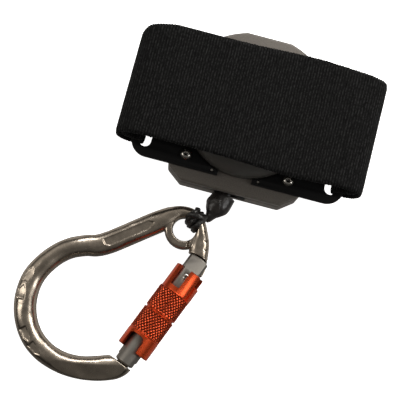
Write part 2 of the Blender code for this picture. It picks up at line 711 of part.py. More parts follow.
def build_gate():
    place = gate_frame()
    upright = place @ Matrix.Rotation(-math.pi / 2, 4, "X")
    profile = [(0.0, 48.6), (2.8, 48.6), (2.8, GATE_SHOULDER), (GATE_NECK_R, GATE_SHOULDER),
               (GATE_NECK_R, 8.0), (HEAD_HALF, 7.0), (HEAD_HALF, -14.0), (0.0, -14.0)]
    gate = turned("gate", profile, "gate_grey", place, steps=32)
    outline = arc((0, 0), HEAD_R, 0, 180, 32) + [(-HEAD_R, -60.0), (HEAD_R, -60.0)]
    boolean(gate, slab("gate_head", outline, -9, 9, matrix=upright), "INTERSECT")
    cut(gate, box("tang_slot", (-9, -TANG_HALF_Z - GAP, -15), (9, TANG_HALF_Z + GAP, 3.9),
                  matrix=place))
    cut(gate, cylinder("gate_pin_bore", 1.8, -9, 9, matrix=upright))
    cut(gate, cylinder("plunger_bore", 1.6, 2.0, 16.0, matrix=place))
    pin = [(0.0, 5.2), (1.5, 5.2), (1.5, -5.2), (0.0, -5.2)]
    turned("gate_hinge_pin", pin, "steel", upright, steps=20)
    plunger = [(0.0, 9.2), (1.3, 9.2), (1.3, 4.9), (0.8, 4.0), (0.0, 3.8)]
    turned("gate_plunger", plunger, "steel", place, steps=16)
    coil = place @ Matrix.Translation(at(0, 0, 9.8))
    tube("gate_spring", helix(1.0, 5.7, 5, 8), 0.22, "spring_steel", coil, sides=1)
    tip_profile = [(0.0, GATE_TIP_END), (4.9, GATE_TIP_END), (GATE_R, GATE_TIP_END - 0.6),
                   (GATE_R, GATE_SHOULDER + GAP), (3.1, GATE_SHOULDER + GAP), (3.1, 48.9),
                   (0.0, 48.9)]
    tip = turned("gate_tip", tip_profile, "gate_grey", place, steps=32)
    cut(tip, box("nose_slot", (-9, -TANG_HALF_Z - GAP, 50.2), (9, TANG_HALF_Z + GAP, 60),
                 matrix=place))


def build_sleeve():
    """Knurled locking sleeve, the carrier it turns on and the spring that returns both."""
    place = gate_frame()
    bore = SLEEVE_BORE_R
    knurl_r = SLEEVE_R - 0.2
    groove_r = 7.8
    profile = [(bore, SLEEVE_BOTTOM), (SLEEVE_R - 0.5, SLEEVE_BOTTOM),
               (SLEEVE_R, SLEEVE_BOTTOM - 0.5), (SLEEVE_R, 35.9), (knurl_r, 35.4),
               (knurl_r, 23.4), (groove_r, 23.2), (groove_r, 22.2), (knurl_r, 22.0),
               (knurl_r, BODY_TOP), (CROWN_R, BODY_TOP), (CROWN_R, SLEEVE_TOP),
               (bore, SLEEVE_TOP)]
    sleeve = turned("lock_sleeve", profile, "orange", place, steps=32, closed=True)
    turned_place = place @ Matrix.Rotation(math.radians(SLEEVE_TURN), 4, "Z")
    outline = arc((0, 0), SLEEVE_R + 0.1, -TAB_HALF_ANGLE, TAB_HALF_ANGLE, 4)
    outline += arc((0, 0), 7.0, TAB_HALF_ANGLE, -TAB_HALF_ANGLE, 2)
    join(sleeve, slab("sleeve_tab", outline, TAB_TOP, BODY_TOP + 1.0, matrix=turned_place))
    half = CROWN_SLOT_HALF
    cut(sleeve, box("crown_slot_front", (-half, -12, SLEEVE_TOP - 3), (half, 12, 7.0),
                    matrix=turned_place))
    cut(sleeve, box("crown_slot_side", (-12, -half, SLEEVE_TOP - 3), (12, half, TAB_TOP),
                    matrix=turned_place))
    cut(sleeve, box("sleeve_window", (-WINDOW_HALF, 0, WINDOW_TOP),
                    (WINDOW_HALF, 12, SLEEVE_BOTTOM + 3), matrix=turned_place))
    ring = [(4.8, 27.6), (5.9, 27.6), (5.9, 8.6), (4.8, 8.6)]
    turned("sleeve_carrier", ring, "steel", place, steps=32, closed=True)
    coil = place @ Matrix.Translation(at(0, 0, 28.4))
    tube("sleeve_spring", helix(5.25, 7.9, 4, 16), 0.35, "spring_steel", coil, sides=1)


# ---- strap ------------------------------------------------------------------------
def strap_half_path():
    """Middle of the webbing's thickness in XZ, from the centre of the front panel round
    the fold, behind the plate's end bar, up through the slot and back to the fold."""
    front = [(0.0, STRAP_FRONT), (20.0, STRAP_FRONT), (44.0, STRAP_FRONT), (53.5, 39.5),
             (59.6, 36.6), (62.6, 31.8), (63.2, 26.0), (62.3, 20.0), (59.4, 16.4),
             (55.4, 15.0), (51.8, 15.9)]
    back = [(50.3, 19.0), (50.4, 22.6), (52.8, 25.2), (56.6, 26.2), (59.3, 28.4),
            (60.1, 31.2), (59.4, 33.4)]
    return front + back


def build_strap():
    half = [Vector((x, 0.0, z)) for x, z in strap_half_path()]
    route = [Vector((-p.x, 0.0, p.z)) for p in reversed(half[1:])] + half
    points = smooth_route(route, 2)

    def build(shape):
        previous = None
        for x, _, z in points:
            pair = (shape.verts.new(at(x, -STRAP_HALF_Y, z)), shape.verts.new(at(x, STRAP_HALF_Y, z)))
            if previous:
                shape.faces.new((previous[0], pair[0], pair[1], previous[1]))
            previous = pair

    strap = mesh_object("elastic_strap", build, "webbing")
    wall = strap.modifiers.new("thickness", "SOLIDIFY")
    wall.thickness = STRAP_THICK * MM
    wall.offset = 0.0


build_housing()
build_exit_guide()
build_plate()
build_cover()
build_drum()
build_axle()
build_wound_line()
build_ratchet()
build_power_spring()
build_lead()
build_boot()
build_hitch()
build_carabiner_frame()
build_gate()
build_sleeve()
build_strap()
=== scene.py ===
"""Looks of the self retracting lifeline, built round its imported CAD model.

Sizes are in millimetres unless a name says otherwise; MM turns them into metres.
"""
import json
import math

import bmesh
import bpy
import numpy as np
from mathutils import Matrix, Vector, noise


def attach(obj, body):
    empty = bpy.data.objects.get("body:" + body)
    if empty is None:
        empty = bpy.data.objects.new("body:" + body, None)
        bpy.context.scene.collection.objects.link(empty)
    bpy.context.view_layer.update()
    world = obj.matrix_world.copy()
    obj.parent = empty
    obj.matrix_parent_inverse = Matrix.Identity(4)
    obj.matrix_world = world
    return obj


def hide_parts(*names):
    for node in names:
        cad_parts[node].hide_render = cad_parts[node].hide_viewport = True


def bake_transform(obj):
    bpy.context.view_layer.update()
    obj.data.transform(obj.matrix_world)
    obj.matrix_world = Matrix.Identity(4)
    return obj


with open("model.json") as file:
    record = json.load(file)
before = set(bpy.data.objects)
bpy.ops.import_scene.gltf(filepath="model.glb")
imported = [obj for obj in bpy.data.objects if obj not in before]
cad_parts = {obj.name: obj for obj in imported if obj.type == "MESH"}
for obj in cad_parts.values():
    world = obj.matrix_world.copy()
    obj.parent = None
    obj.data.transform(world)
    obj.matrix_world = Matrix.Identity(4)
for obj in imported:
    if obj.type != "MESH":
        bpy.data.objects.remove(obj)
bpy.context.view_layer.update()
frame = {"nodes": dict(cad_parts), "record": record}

MM = 0.001
UP = Vector((0.0, 0.0, 1.0))


# ---- camera, floor and light ------------------------------------------------------
def add_camera():
    """A long lens, tipped 8.7 degrees off the plate's normal and rolled 14.7."""
    tip, roll, distance = math.radians(8.7), math.radians(14.7), 545.0
    target = Vector((-14.09, -50.29, 19.0))
    view = Vector((0.0, math.sin(tip), -math.cos(tip)))
    side = Vector((1.0, 0.0, 0.0))
    top = Vector((0.0, math.cos(tip), math.sin(tip)))
    right = side * math.cos(roll) + top * math.sin(roll)
    above = top * math.cos(roll) - side * math.sin(roll)
    place = Matrix((right, above, -view)).transposed().to_4x4()
    place.translation = (target - view * distance) * MM
    data = bpy.data.cameras.new("camera")
    data.sensor_width = 36.0
    data.lens = 96.2
    data.clip_start = 0.01
    data.clip_end = 20.0
    camera = bpy.data.objects.new("camera", data)
    camera.matrix_world = place
    bpy.context.scene.collection.objects.link(camera)
    bpy.context.scene.camera = camera


def area_light(name, place, aim, size, watts, colour=(1.0, 1.0, 1.0)):
    data = bpy.data.lights.new(name, "AREA")
    data.shape = "RECTANGLE"
    data.size, data.size_y = size
    data.energy = watts
    data.color = colour
    lamp = bpy.data.objects.new(name, data)
    lamp.location = place
    direction = Vector(aim) - Vector(place)
    lamp.rotation_euler = direction.to_track_quat("-Z", "Y").to_euler()
    bpy.context.scene.collection.objects.link(lamp)
    return lamp


def add_stage():
    """A white sweep that the object lies on and plain soft boxes above it."""
    mesh = bpy.data.meshes.new("floor")
    half, low = 40.0, -0.0006
    mesh.from_pydata([(-half, -half, low), (half, -half, low), (half, half, low),
                      (-half, half, low)], [], [(0, 1, 2, 3)])
    floor = bpy.data.objects.new("floor", mesh)
    bpy.context.scene.collection.objects.link(floor)
    white = bpy.data.materials.new("floor_white")
    white.use_nodes = True
    shader = white.node_tree.nodes["Principled BSDF"]
    shader.inputs["Base Color"].default_value = (0.9, 0.9, 0.9, 1.0)
    shader.inputs["Roughness"].default_value = 1.0
    shader.inputs["Specular IOR Level"].default_value = 0.0
    shader.inputs["Emission Color"].default_value = (1.0, 1.0, 1.0, 1.0)
    shader.inputs["Emission Strength"].default_value = 0.95
    mesh.materials.append(white)
    floor.visible_glossy = False

    bpy.context.scene.view_settings.view_transform = "Standard"
    bpy.context.scene.world = studio_world()
    area_light("key", (0.62, 0.58, 0.90), (0.0, -0.05, 0.0), (0.55, 0.45), 7.0,
               (1.0, 0.97, 0.92))
    area_light("right", (1.00, -0.15, 0.80), (-0.02, -0.08, 0.0), (0.22, 0.7), 2.8)
    area_light("left", (-0.95, -0.20, 0.80), (-0.02, -0.08, 0.0), (0.16, 0.8), 2.2,
               (1.0, 0.96, 0.90))
    area_light("top", (-0.10, 1.00, 0.72), (-0.04, -0.08, 0.0), (0.9, 0.22), 7.0)


def studio_world():
    """Dark near the horizon, grey overhead and brighter between, like a light tent."""
    world = bpy.data.worlds.new("studio")
    world.use_nodes = True
    tree = world.node_tree
    place = tree.nodes.new("ShaderNodeTexCoord")
    split = tree.nodes.new("ShaderNodeSeparateXYZ")
    ramp = tree.nodes.new("ShaderNodeValToRGB")
    tree.links.new(place.outputs["Generated"], split.inputs["Vector"])
    height = tree.nodes.new("ShaderNodeMapRange")
    height.inputs["From Min"].default_value = -1.0
    tree.links.new(split.outputs["Z"], height.inputs["Value"])
    tree.links.new(height.outputs["Result"], ramp.inputs["Fac"])
    stops = [(0.0, 0.10), (0.15, 0.50), (0.40, 0.55), (0.48, 0.05), (0.60, 0.07), (0.75, 0.55),
             (0.88, 0.48), (0.97, 0.24)]
    while len(ramp.color_ramp.elements) < len(stops):
        ramp.color_ramp.elements.new(0.5)
    for element, (height, grey) in zip(ramp.color_ramp.elements, stops):
        element.position = height
        element.color = (grey, grey * 0.96, grey * 0.90, 1.0)
    backing = tree.nodes["Background"]
    tree.links.new(ramp.outputs["Color"], backing.inputs["Color"])
    side = tree.nodes.new("ShaderNodeMapRange")
    side.inputs["From Min"].default_value = -0.75
    side.inputs["From Max"].default_value = 0.25
    side.inputs["To Min"].default_value = 0.20
    side.inputs["To Max"].default_value = 1.1
    tree.links.new(split.outputs["Y"], side.inputs["Value"])
    tree.links.new(side.outputs["Result"], backing.inputs["Strength"])
    return world


add_camera()
add_stage()


# ---- materials --------------------------------------------------------------------
class Nodes:
    """Short calls for a material's node tree."""

    def __init__(self, name):
        self.material = bpy.data.materials.new(name)
        self.material.use_nodes = True
        self.tree = self.material.node_tree
        self.shader = self.tree.nodes["Principled BSDF"]
        self.place = self.new("ShaderNodeTexCoord").outputs["Object"]

    def new(self, kind, **settings):
        node = self.tree.nodes.new(kind)
        for key, value in settings.items():
            setattr(node, key, value)
        return node

    def link(self, output, target):
        self.tree.links.new(output, target)

    def fixed(self, **values):
        for key, value in values.items():
            self.shader.inputs[key.replace("_", " ")].default_value = value

    def noise(self, scale, detail=3.0, stretch=(1.0, 1.0, 1.0), rough=0.55):
        mapping = self.new("ShaderNodeMapping")
        mapping.inputs["Scale"].default_value = stretch
        self.link(self.place, mapping.inputs["Vector"])
        texture = self.new("ShaderNodeTexNoise")
        texture.inputs["Scale"].default_value = scale
        texture.inputs["Detail"].default_value = detail
        texture.inputs["Roughness"].default_value = rough
        self.link(mapping.outputs["Vector"], texture.inputs["Vector"])
        return texture.outputs["Fac"]

    def ramp(self, factor, stops):
        node = self.new("ShaderNodeValToRGB")
        ramp = node.color_ramp
        while len(ramp.elements) < len(stops):
            ramp.elements.new(0.5)
        for element, (place, colour) in zip(ramp.elements, stops):
            element.position = place
            element.color = (*colour, 1.0) if len(colour) == 3 else colour
        self.link(factor, node.inputs["Fac"])
        return node.outputs["Color"]

    def grey_ramp(self, factor, low, high, start=0.3, end=0.7):
        node = self.new("ShaderNodeMapRange")
        node.inputs["From Min"].default_value = start
        node.inputs["From Max"].default_value = end
        node.inputs["To Min"].default_value = low
        node.inputs["To Max"].default_value = high
        self.link(factor, node.inputs["Value"])
        return node.outputs["Result"]

    def bump(self, height, strength, distance, below=None):
        node = self.new("ShaderNodeBump")
        node.inputs["Strength"].default_value = strength
        node.inputs["Distance"].default_value = distance
        self.link(height, node.inputs["Height"])
        if below is not None:
            self.link(below, node.inputs["Normal"])
        return node.outputs["Normal"]

    def finish(self, colour=None, roughness=None, normal=None):
        if colour is not None:
            self.link(colour, self.shader.inputs["Base Color"])
        if roughness is not None:
            self.link(roughness, self.shader.inputs["Roughness"])
        if normal is not None:
            self.link(normal, self.shader.inputs["Normal"])
        return self.material


def shade(colour, factor):
    return tuple(min(1.0, c * factor) for c in colour)


def metal(name, colour, rough=(0.2, 0.32), variation=0.18, grain=(1.0, 1.0, 1.0),
          grain_scale=900.0, bump=0.05, metallic=1.0, waves=0.0):
    """Bare or anodised metal: soft colour drift, fine grain and uneven polish."""
    n = Nodes(name)
    n.fixed(Metallic=metallic)
    drift = n.noise(70.0, 3.0)
    tint = n.ramp(drift, [(0.25, shade(colour, 1 - variation)), (0.55, colour),
                          (0.8, shade(colour, 1 + variation))])
    fine = n.noise(grain_scale, 4.0, grain)
    roughness = n.grey_ramp(fine, rough[0], rough[1])
    normal = n.bump(fine, bump, 0.0002)
    if waves:
        normal = n.bump(n.noise(85.0, 1.0), 1.0, waves, normal)
    return n.finish(tint, roughness, normal)


def painted(name, colour, rough=(0.38, 0.5), speckle=0.25, scale=1500.0, bump=0.12,
            metallic=0.0, gloss=0.5):
    """Fine textured coating with faint speckle."""
    n = Nodes(name)
    n.fixed(Metallic=metallic, Specular_IOR_Level=gloss)
    fine = n.noise(scale, 5.0)
    tint = n.ramp(fine, [(0.3, shade(colour, 1 - speckle)), (0.5, colour),
                         (0.72, shade(colour, 1 + speckle))])
    cloud = n.noise(45.0, 3.0)
    roughness = n.grey_ramp(cloud, rough[0], rough[1])
    normal = n.bump(fine, bump, 0.00015)
    return n.finish(tint, roughness, normal)


def cord_material():
    """Glossy black braid: crossing strands from two slanted waves."""
    n = Nodes("line_black")
    n.fixed(Specular_IOR_Level=0.6)
    fine = n.noise(2600.0, 4.0)
    tint = n.ramp(fine, [(0.3, (0.004, 0.004, 0.004)), (0.7, (0.020, 0.018, 0.017))])
    roughness = n.grey_ramp(n.noise(300.0), 0.22, 0.5)
    normal = n.bump(n.noise(1100.0, 5.0), 0.5, 0.0004)
    return n.finish(tint, roughness, normal)


def boot_material():
    n = Nodes("boot_black")
    n.fixed(Specular_IOR_Level=0.55)
    tint = n.ramp(n.noise(220.0, 4.0), [(0.3, (0.006, 0.005, 0.005)),
                                        (0.75, (0.022, 0.018, 0.016))])
    roughness = n.grey_ramp(n.noise(260.0, 3.0), 0.2, 0.42)
    normal = n.bump(n.noise(420.0, 4.0, (1.0, 0.5, 1.0)), 0.45, 0.0006)
    return n.finish(tint, roughness, normal)


def webbing_material():
    """Woven elastic: a mesh attribute of rib height gives painted shade in the rib valleys and
    painted highlight in short dashes on the rib tops.
    """
    n = Nodes("webbing")
    n.fixed(Specular_IOR_Level=0.10)
    rib = n.new("ShaderNodeAttribute", attribute_name="rib").outputs["Fac"]
    yarn = n.noise(1000.0, 3.0, (1.2, 0.9, 1.2))
    # Rib height times yarn noise: the dark valleys are painted shade, the light dashes on the rib
    # tops painted highlight.
    painted_rib_light = n.new("ShaderNodeMath", operation="MULTIPLY")
    n.link(rib, painted_rib_light.inputs[0])
    n.link(n.grey_ramp(yarn, 0.25, 1.0, 0.38, 0.62), painted_rib_light.inputs[1])
    tint = n.ramp(painted_rib_light.outputs["Value"], [(0.0, (0.0012, 0.0012, 0.0012)),
                                          (0.45, (0.0055, 0.0055, 0.0056)),
                                          (1.0, (0.021, 0.021, 0.021))])
    roughness = n.grey_ramp(n.noise(400.0), 0.75, 0.95)
    normal = n.bump(yarn, 0.5, 0.0003)
    return n.finish(tint, roughness, normal)


def knurl_with_painted_shade(name, colour, valley_shade, rough, height_name="depth"):
    """Anodised knurl: the cut valleys, marked by a mesh attribute, get painted shade."""
    n = Nodes(name)
    n.fixed(Metallic=0.85)
    depth = n.new("ShaderNodeAttribute", attribute_name=height_name).outputs["Fac"]
    mix = n.new("ShaderNodeMix", data_type="RGBA")
    n.link(depth, mix.inputs["Factor"])
    tone = n.noise(120.0, 3.0)
    mix.inputs["A"].default_value = (*colour, 1.0)
    n.link(n.ramp(tone, [(0.3, shade(colour, 0.86)), (0.7, shade(colour, 1.12))]), mix.inputs["A"])
    # Painted shade: the valley colour darkens the knurl's cuts by their depth.
    mix.inputs["B"].default_value = (*valley_shade, 1.0)
    fine = n.noise(1400.0, 3.0)
    roughness = n.grey_ramp(fine, rough[0], rough[1])
    return n.finish(mix.outputs["Result"], roughness, n.bump(fine, 0.06, 0.0002))


MATERIALS = {
    "gunmetal": painted("gunmetal", (0.125, 0.112, 0.098), (0.40, 0.52), 0.18, metallic=0.35),
    "black_plate": painted("black_plate", (0.0028, 0.0028, 0.0031), (0.40, 0.50), 0.2,
                           gloss=0.22),
    "cover_grey": painted("cover_grey", (0.034, 0.032, 0.028), (0.42, 0.52), 0.12, 2200.0),
    "steel": metal("steel", (0.42, 0.40, 0.37), (0.18, 0.30)),
    "spring_steel": metal("spring_steel", (0.30, 0.31, 0.33), (0.22, 0.36)),
    "drum_grey": painted("drum_grey", (0.20, 0.20, 0.21), (0.45, 0.6), 0.06),
    "bronze": metal("bronze", (0.45, 0.28, 0.12), (0.3, 0.5)),
    "line_black": cord_material(),
    "boot_black": boot_material(),
    "webbing": webbing_material(),
    "forged_grey": metal("forged_grey", (0.40, 0.345, 0.285), (0.20, 0.31), 0.16,
                         grain_scale=420.0, bump=0.04, waves=0.0014),
    "gate_grey": metal("gate_grey", (0.235, 0.22, 0.198), (0.42, 0.55), 0.08,
                       grain_scale=1500.0, bump=0.10),
    # The second colour is painted shade for the knurl valleys.
    "orange": knurl_with_painted_shade("orange", (0.62, 0.075, 0.019), (0.05, 0.003, 0.001), (0.22, 0.34)),
}


# ---- mesh building ----------------------------------------------------------------
def new_object(name, mesh, slot, body, replaced, smooth=40.0):
    """Register a finished piece: its material, its body and the CAD nodes it stands for."""
    item = bpy.data.objects.new(name, mesh)
    bpy.context.scene.collection.objects.link(item)
    mesh.materials.clear()
    mesh.materials.append(MATERIALS[slot])
    tidy(item)
    mesh.shade_smooth()
    if smooth is not None:
        mesh.set_sharp_from_angle(angle=math.radians(smooth))
    if body is not None:
        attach(item, body)
    if replaced:
        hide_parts(*replaced)
    return item


def tidy(item):
    """Weld coincident points and turn every face outwards."""
    shape = bmesh.new()
    shape.from_mesh(item.data)
    bmesh.ops.remove_doubles(shape, verts=shape.verts, dist=2e-6)
    bmesh.ops.recalc_face_normals(shape, faces=shape.faces)
    shape.to_mesh(item.data)
    shape.free()


def raw_mesh(name, points, faces):
    mesh = bpy.data.meshes.new(name)
    mesh.from_pydata([tuple(Vector(p) * MM) for p in points], [], faces)
    return mesh


def ring_faces(rings, count, closed_path=False, cap=True):
    """Quads between rings of count points each, with end caps as single faces."""
    faces = []
    steps = rings if closed_path else rings - 1
    for i in range(steps):
        a, b = i * count, ((i + 1) % rings) * count
        for j in range(count):
            k = (j + 1) % count
            faces.append((a + j, a + k, b + k, b + j))
    if cap and not closed_path:
        faces.append(tuple(reversed(range(count))))
        faces.append(tuple(range((rings - 1) * count, rings * count)))
    return faces


def rounded(profile, radius, steps=3, closed=True):
    """Round the corners of a polygon of 2-D points by radius, or by one radius each."""
    count = len(profile)
    radii = radius if isinstance(radius, (list, tuple)) else [radius] * count
    result = []
    for i, corner in enumerate(profile):
        here = Vector(corner)
        if (not closed and i in (0, count - 1)) or radii[i] <= 0:
            result.append(tuple(here))
            continue
        before = Vector(profile[i - 1]) - here
        after = Vector(profile[(i + 1) % count]) - here
        bend = before.angle(after)
        if bend > math.radians(170):
            result.append(tuple(here))
            continue
        reach = min(radii[i] / math.tan(bend / 2), before.length * 0.45, after.length * 0.45)
        start, end = here + before.normalized() * reach, here + after.normalized() * reach
        for step in range(steps + 1):
            t = step / steps
            point = start * (1 - t) ** 2 + here * (2 * t * (1 - t)) + end * t ** 2
            result.append(tuple(point))
    return result


def lathe_mesh(name, profile, steps=96, place=Matrix()):
    """Turn a closed (radius, height) profile about Z; points on the axis make poles."""
    points, faces = [], []
    count = len(profile)
    for step in range(steps):
        angle = math.tau * step / steps
        for r, z in profile:
            points.append(place @ Vector((r * math.cos(angle), r * math.sin(angle), z)))
    for i in range(steps):
        a, b = i * count, ((i + 1) % steps) * count
        for j in range(count):
            k = (j + 1) % count
            if profile[j][0] < 1e-6 and profile[k][0] < 1e-6:
                continue
            faces.append((a + j, a + k, b + k, b + j))
    return raw_mesh(name, points, faces)


def plate_mesh(name, contours, low, high, edge=0.3, steps=2, place=Matrix()):
    """A flat piece from an outline and its holes, with rounded edges."""
    data = bpy.data.curves.new(name, "CURVE")
    data.dimensions = "2D"
    data.fill_mode = "BOTH"
    data.extrude = ((high - low) / 2 - edge) * MM
    data.bevel_depth = edge * MM
    data.bevel_resolution = steps
    data.offset = -edge * MM
    for contour in contours:
        spline = data.splines.new("POLY")
        spline.points.add(len(contour) - 1)
        for point, (x, y) in zip(spline.points, contour):
            point.co = (x * MM, y * MM, 0.0, 1.0)
        spline.use_cyclic_u = True
    item = bpy.data.objects.new(name, data)
    bpy.context.scene.collection.objects.link(item)
    bpy.context.view_layer.update()
    mesh = bpy.data.meshes.new_from_object(
        item.evaluated_get(bpy.context.evaluated_depsgraph_get()))
    bpy.data.objects.remove(item, do_unlink=True)
    lift = Matrix.Translation(Vector((0, 0, (low + high) / 2 * MM)))
    turn = place.copy()
    turn.translation = turn.translation * MM
    mesh.transform(turn @ lift)
    return mesh


def tube_mesh(name, route, radius, sides=16, closed=False, wobble=0.0, seed=0.0):
    """A cord along route; wobble kneads its surface. radius is a number or one per point."""
    route = [Vector(p) for p in route]
    count = len(route)
    radii = radius if isinstance(radius, (list, tuple)) else [radius] * count
    points = []
    normal = None
    for i, here in enumerate(route):
        ahead = route[(i + 1) % count] if closed or i < count - 1 else here
        behind = route[i - 1] if closed or i > 0 else here
        direction = (ahead - behind).normalized()
        if normal is None:
            normal = direction.orthogonal().normalized()
        normal = (normal - direction * normal.dot(direction)).normalized()
        across = direction.cross(normal)
        for j in range(sides):
            angle = math.tau * j / sides
            out = normal * math.cos(angle) + across * math.sin(angle)
            point = here + out * radii[i]
            if wobble:
                point += out * wobble * noise.noise(point * 0.9 + Vector((seed, 0, 0)))
            points.append(point)
    return raw_mesh(name, points, ring_faces(count, sides, closed))


def smooth_route(route, per_span):
    """Catmull-Rom points through a route's own points, in any number of coordinates."""
    route = [np.array(p, float) for p in route]
    ends = [route[0] * 2 - route[1]] + route + [route[-1] * 2 - route[-2]]
    points = []
    for a, b, c, d in zip(ends, ends[1:], ends[2:], ends[3:]):
        for step in range(per_span):
            t = step / per_span
            points.append(0.5 * ((2 * b) + (c - a) * t + (2 * a - 5 * b + 4 * c - d) * t ** 2
                                 + (3 * b - a - 3 * c + d) * t ** 3))
    points.append(route[-1])
    return points


def arc(centre, radius, start, end, count):
    points = []
    for step in range(count + 1):
        angle = math.radians(start + (end - start) * step / count)
        points.append((centre[0] + radius * math.cos(angle), centre[1] + radius * math.sin(angle)))
    return points


def temporary(mesh):
    item = bpy.data.objects.new(mesh.name, mesh)
    bpy.context.scene.collection.objects.link(item)
    return item


def with_booleans(mesh, tools):
    """mesh after (operation, mesh) steps; every tool is used up."""
    target = temporary(mesh)
    helpers = []
    for operation, tool in tools:
        helper = temporary(tool)
        tidy(helper)
        helpers.append(helper)
        step = target.modifiers.new("step", "BOOLEAN")
        step.operation = operation
        step.object = helper
        step.solver = "EXACT"
    tidy(target)
    return applied(target, helpers)


def applied(item, helpers=()):
    """The final mesh of a temporary object, which is then removed with its helpers."""
    bpy.context.view_layer.update()
    mesh = bpy.data.meshes.new_from_object(
        item.evaluated_get(bpy.context.evaluated_depsgraph_get()))
    for thing in [item, *helpers]:
        bpy.data.objects.remove(thing, do_unlink=True)
    return mesh


def fused(mesh, voxel, smoothing):
    """One continuous skin over a rough shape, like a forging's blended edges."""
    item = temporary(mesh)
    remesh = item.modifiers.new("skin", "REMESH")
    remesh.mode = "VOXEL"
    remesh.voxel_size = voxel * MM
    soften = item.modifiers.new("soften", "SMOOTH")
    soften.factor = 0.5
    soften.iterations = smoothing
    return applied(item)


def box_mesh(name, low, high, place=Matrix()):
    corners = [(x, y, z) for x in (low[0], high[0]) for y in (low[1], high[1])
               for z in (low[2], high[2])]
    faces = [(0, 1, 3, 2), (4, 6, 7, 5), (0, 4, 5, 1), (2, 3, 7, 6), (0, 2, 6, 4), (1, 5, 7, 3)]
    return raw_mesh(name, [place @ Vector(c) for c in corners], faces)


def cylinder_mesh(name, radius, low, high, place=Matrix(), steps=48):
    return lathe_mesh(name, [(0.0, high), (radius, high), (radius, low), (0.0, low)], steps, place)


def frame_along(origin, direction):
    """Matrix, in millimetres, whose Z runs along direction and whose Y is the world's Z."""
    z_axis = Vector(direction).normalized()
    x_axis = UP.cross(z_axis)
    turn = Matrix((x_axis, UP, z_axis)).transposed().to_4x4()
    return Matrix.Translation(Vector(origin)) @ turn


# ---- retractor housing ------------------------------------------------------------
HOUSING_R = 44.0
HOUSING_SPLIT = 12.0
HOUSING_FRONT = 18.0
PLATE_BACK = 18.3
PLATE_FRONT = 20.8
PLATE_SCREWS = [(sx * 27.0, sy * 29.5) for sy in (-1, 1) for sx in (-1, 1)]
HOUSING_SCREWS = [(-29.0, -36.6), (29.0, -36.6), (-10.0, 39.4), (10.0, 39.4)]
EXIT_Z = 8.0


def housing_outline():
    """Round body with a flat at the top and a wide chamfered base at the cord side."""
    flat_y, base_x, side_x, chamfer_y = 42.4, 26.5, 35.4, -36.2
    side_angle = math.degrees(math.acos(side_x / HOUSING_R))
    flat_angle = math.degrees(math.asin(flat_y / HOUSING_R))
    base = [(-side_x + 0.2, chamfer_y + 4.0), (-side_x + 0.8, chamfer_y), (-base_x, -flat_y),
            (base_x, -flat_y), (side_x - 0.8, chamfer_y), (side_x - 0.2, chamfer_y + 4.0)]
    base = rounded(base, [0.0, 3.0, 2.2, 2.2, 3.0, 0.0], 5, closed=False)
    right = arc((0, 0), HOUSING_R, -side_angle, flat_angle, 48)
    left = arc((0, 0), HOUSING_R, 180 - flat_angle, 180 + side_angle, 48)
    return base + right + left


def build_housing():
    outline = housing_outline()
    rear = plate_mesh("rear_shell", [outline], 0.0, HOUSING_SPLIT - 0.15, 0.35)
    tools = [("DIFFERENCE", cylinder_mesh("cavity", 36.5, 3.0, 20.0, steps=96)),
             ("DIFFERENCE", box_mesh("exit", (-8.3, -50.0, 4.0), (8.3, -30.0, 20.0)))]
    for place in HOUSING_SCREWS:
        lift = Matrix.Translation((place[0], place[1], 0.0))
        tools.append(("DIFFERENCE", cylinder_mesh("seat", 2.8, -1.0, 2.2, lift, 32)))
    new_object("rear_shell", with_booleans(rear, tools), "gunmetal", "retractor",
               ["rear_housing"], smooth=20.0)
    front = plate_mesh("front_shell", [outline], HOUSING_SPLIT + 0.15, HOUSING_FRONT, 1.2, 3)
    tools = [("DIFFERENCE", cylinder_mesh("cavity", 36.5, 5.0, 15.0, steps=96)),
             ("DIFFERENCE", cylinder_mesh("hub", 11.0, 12.0, 20.0, steps=64))]
    new_object("front_shell", with_booleans(front, tools), "gunmetal", "retractor",
               ["front_housing"], smooth=25.0)


def socket_screw(name, place, seat, head_r, head_high, dome, socket_r):
    """Screw head with a rounded top and a hexagon socket; seat is its underside's height."""
    top = seat + head_high
    shank_r, shank_end = 1.5, seat - 3.0
    profile = [(0.0, top), (head_r * 0.62, top), (head_r, top - dome), (head_r, seat),
               (shank_r, seat), (shank_r, shank_end), (0.0, shank_end)]
    profile = rounded(profile, [0, head_high * 0.7, head_high * 0.3, 0.05, 0, 0, 0])
    centre = Matrix.Translation((place[0], place[1], 0.0))
    mesh = lathe_mesh(name, profile, 40, centre)
    hexagon = arc(place, socket_r, 0, 300, 5)
    socket = plate_mesh("socket", [hexagon], top - head_high * 0.62, top + 3.0, 0.02, 1)
    return with_booleans(mesh, [("DIFFERENCE", socket)])


def build_screws():
    for number, place in enumerate(PLATE_SCREWS, 1):
        node = f"plate_screw_{number}"
        mesh = socket_screw(f"button_screw_{number}", place, PLATE_FRONT + 0.05, 2.85, 2.1, 1.1,
                            1.35)
        new_object(f"button_screw_{number}", mesh, "steel", "retractor", [node])
    for number, place in enumerate(HOUSING_SCREWS, 1):
        node = f"housing_screw_{number}"
        mesh = socket_screw(f"back_screw_{number}", (place[0], -place[1]), -2.0, 2.5, 1.8, 0.2,
                            1.4)
        mesh.transform(Matrix.Rotation(math.pi, 4, "X"))
        new_object(f"back_screw_{number}", mesh, "steel", "retractor", [node])


def plate_outline():
    """Rounded rectangle, cut out round the cover and open at the line's side."""
    half_x, half_y, corner, cut_r, notch = 56.2, 35.9, 9.0, 34.6, 9.0
    meet = math.degrees(math.asin(notch / cut_r))
    notch_y = -cut_r * math.cos(math.radians(meet))
    inner = arc((0, 0), cut_r, -90 + meet, 270 - meet, 120)
    outline = [(notch, notch_y)] + inner[1:-1] + [(-notch, notch_y), (-notch, -half_y)]
    for sx, sy, start in ((-1, -1, 270), (-1, 1, 180), (1, 1, 90), (1, -1, 0)):
        centre = (sx * (half_x - corner), sy * (half_y - corner))
        outline += arc(centre, corner, start, start - 90, 14)
    outline.append((notch, -half_y))
    return outline


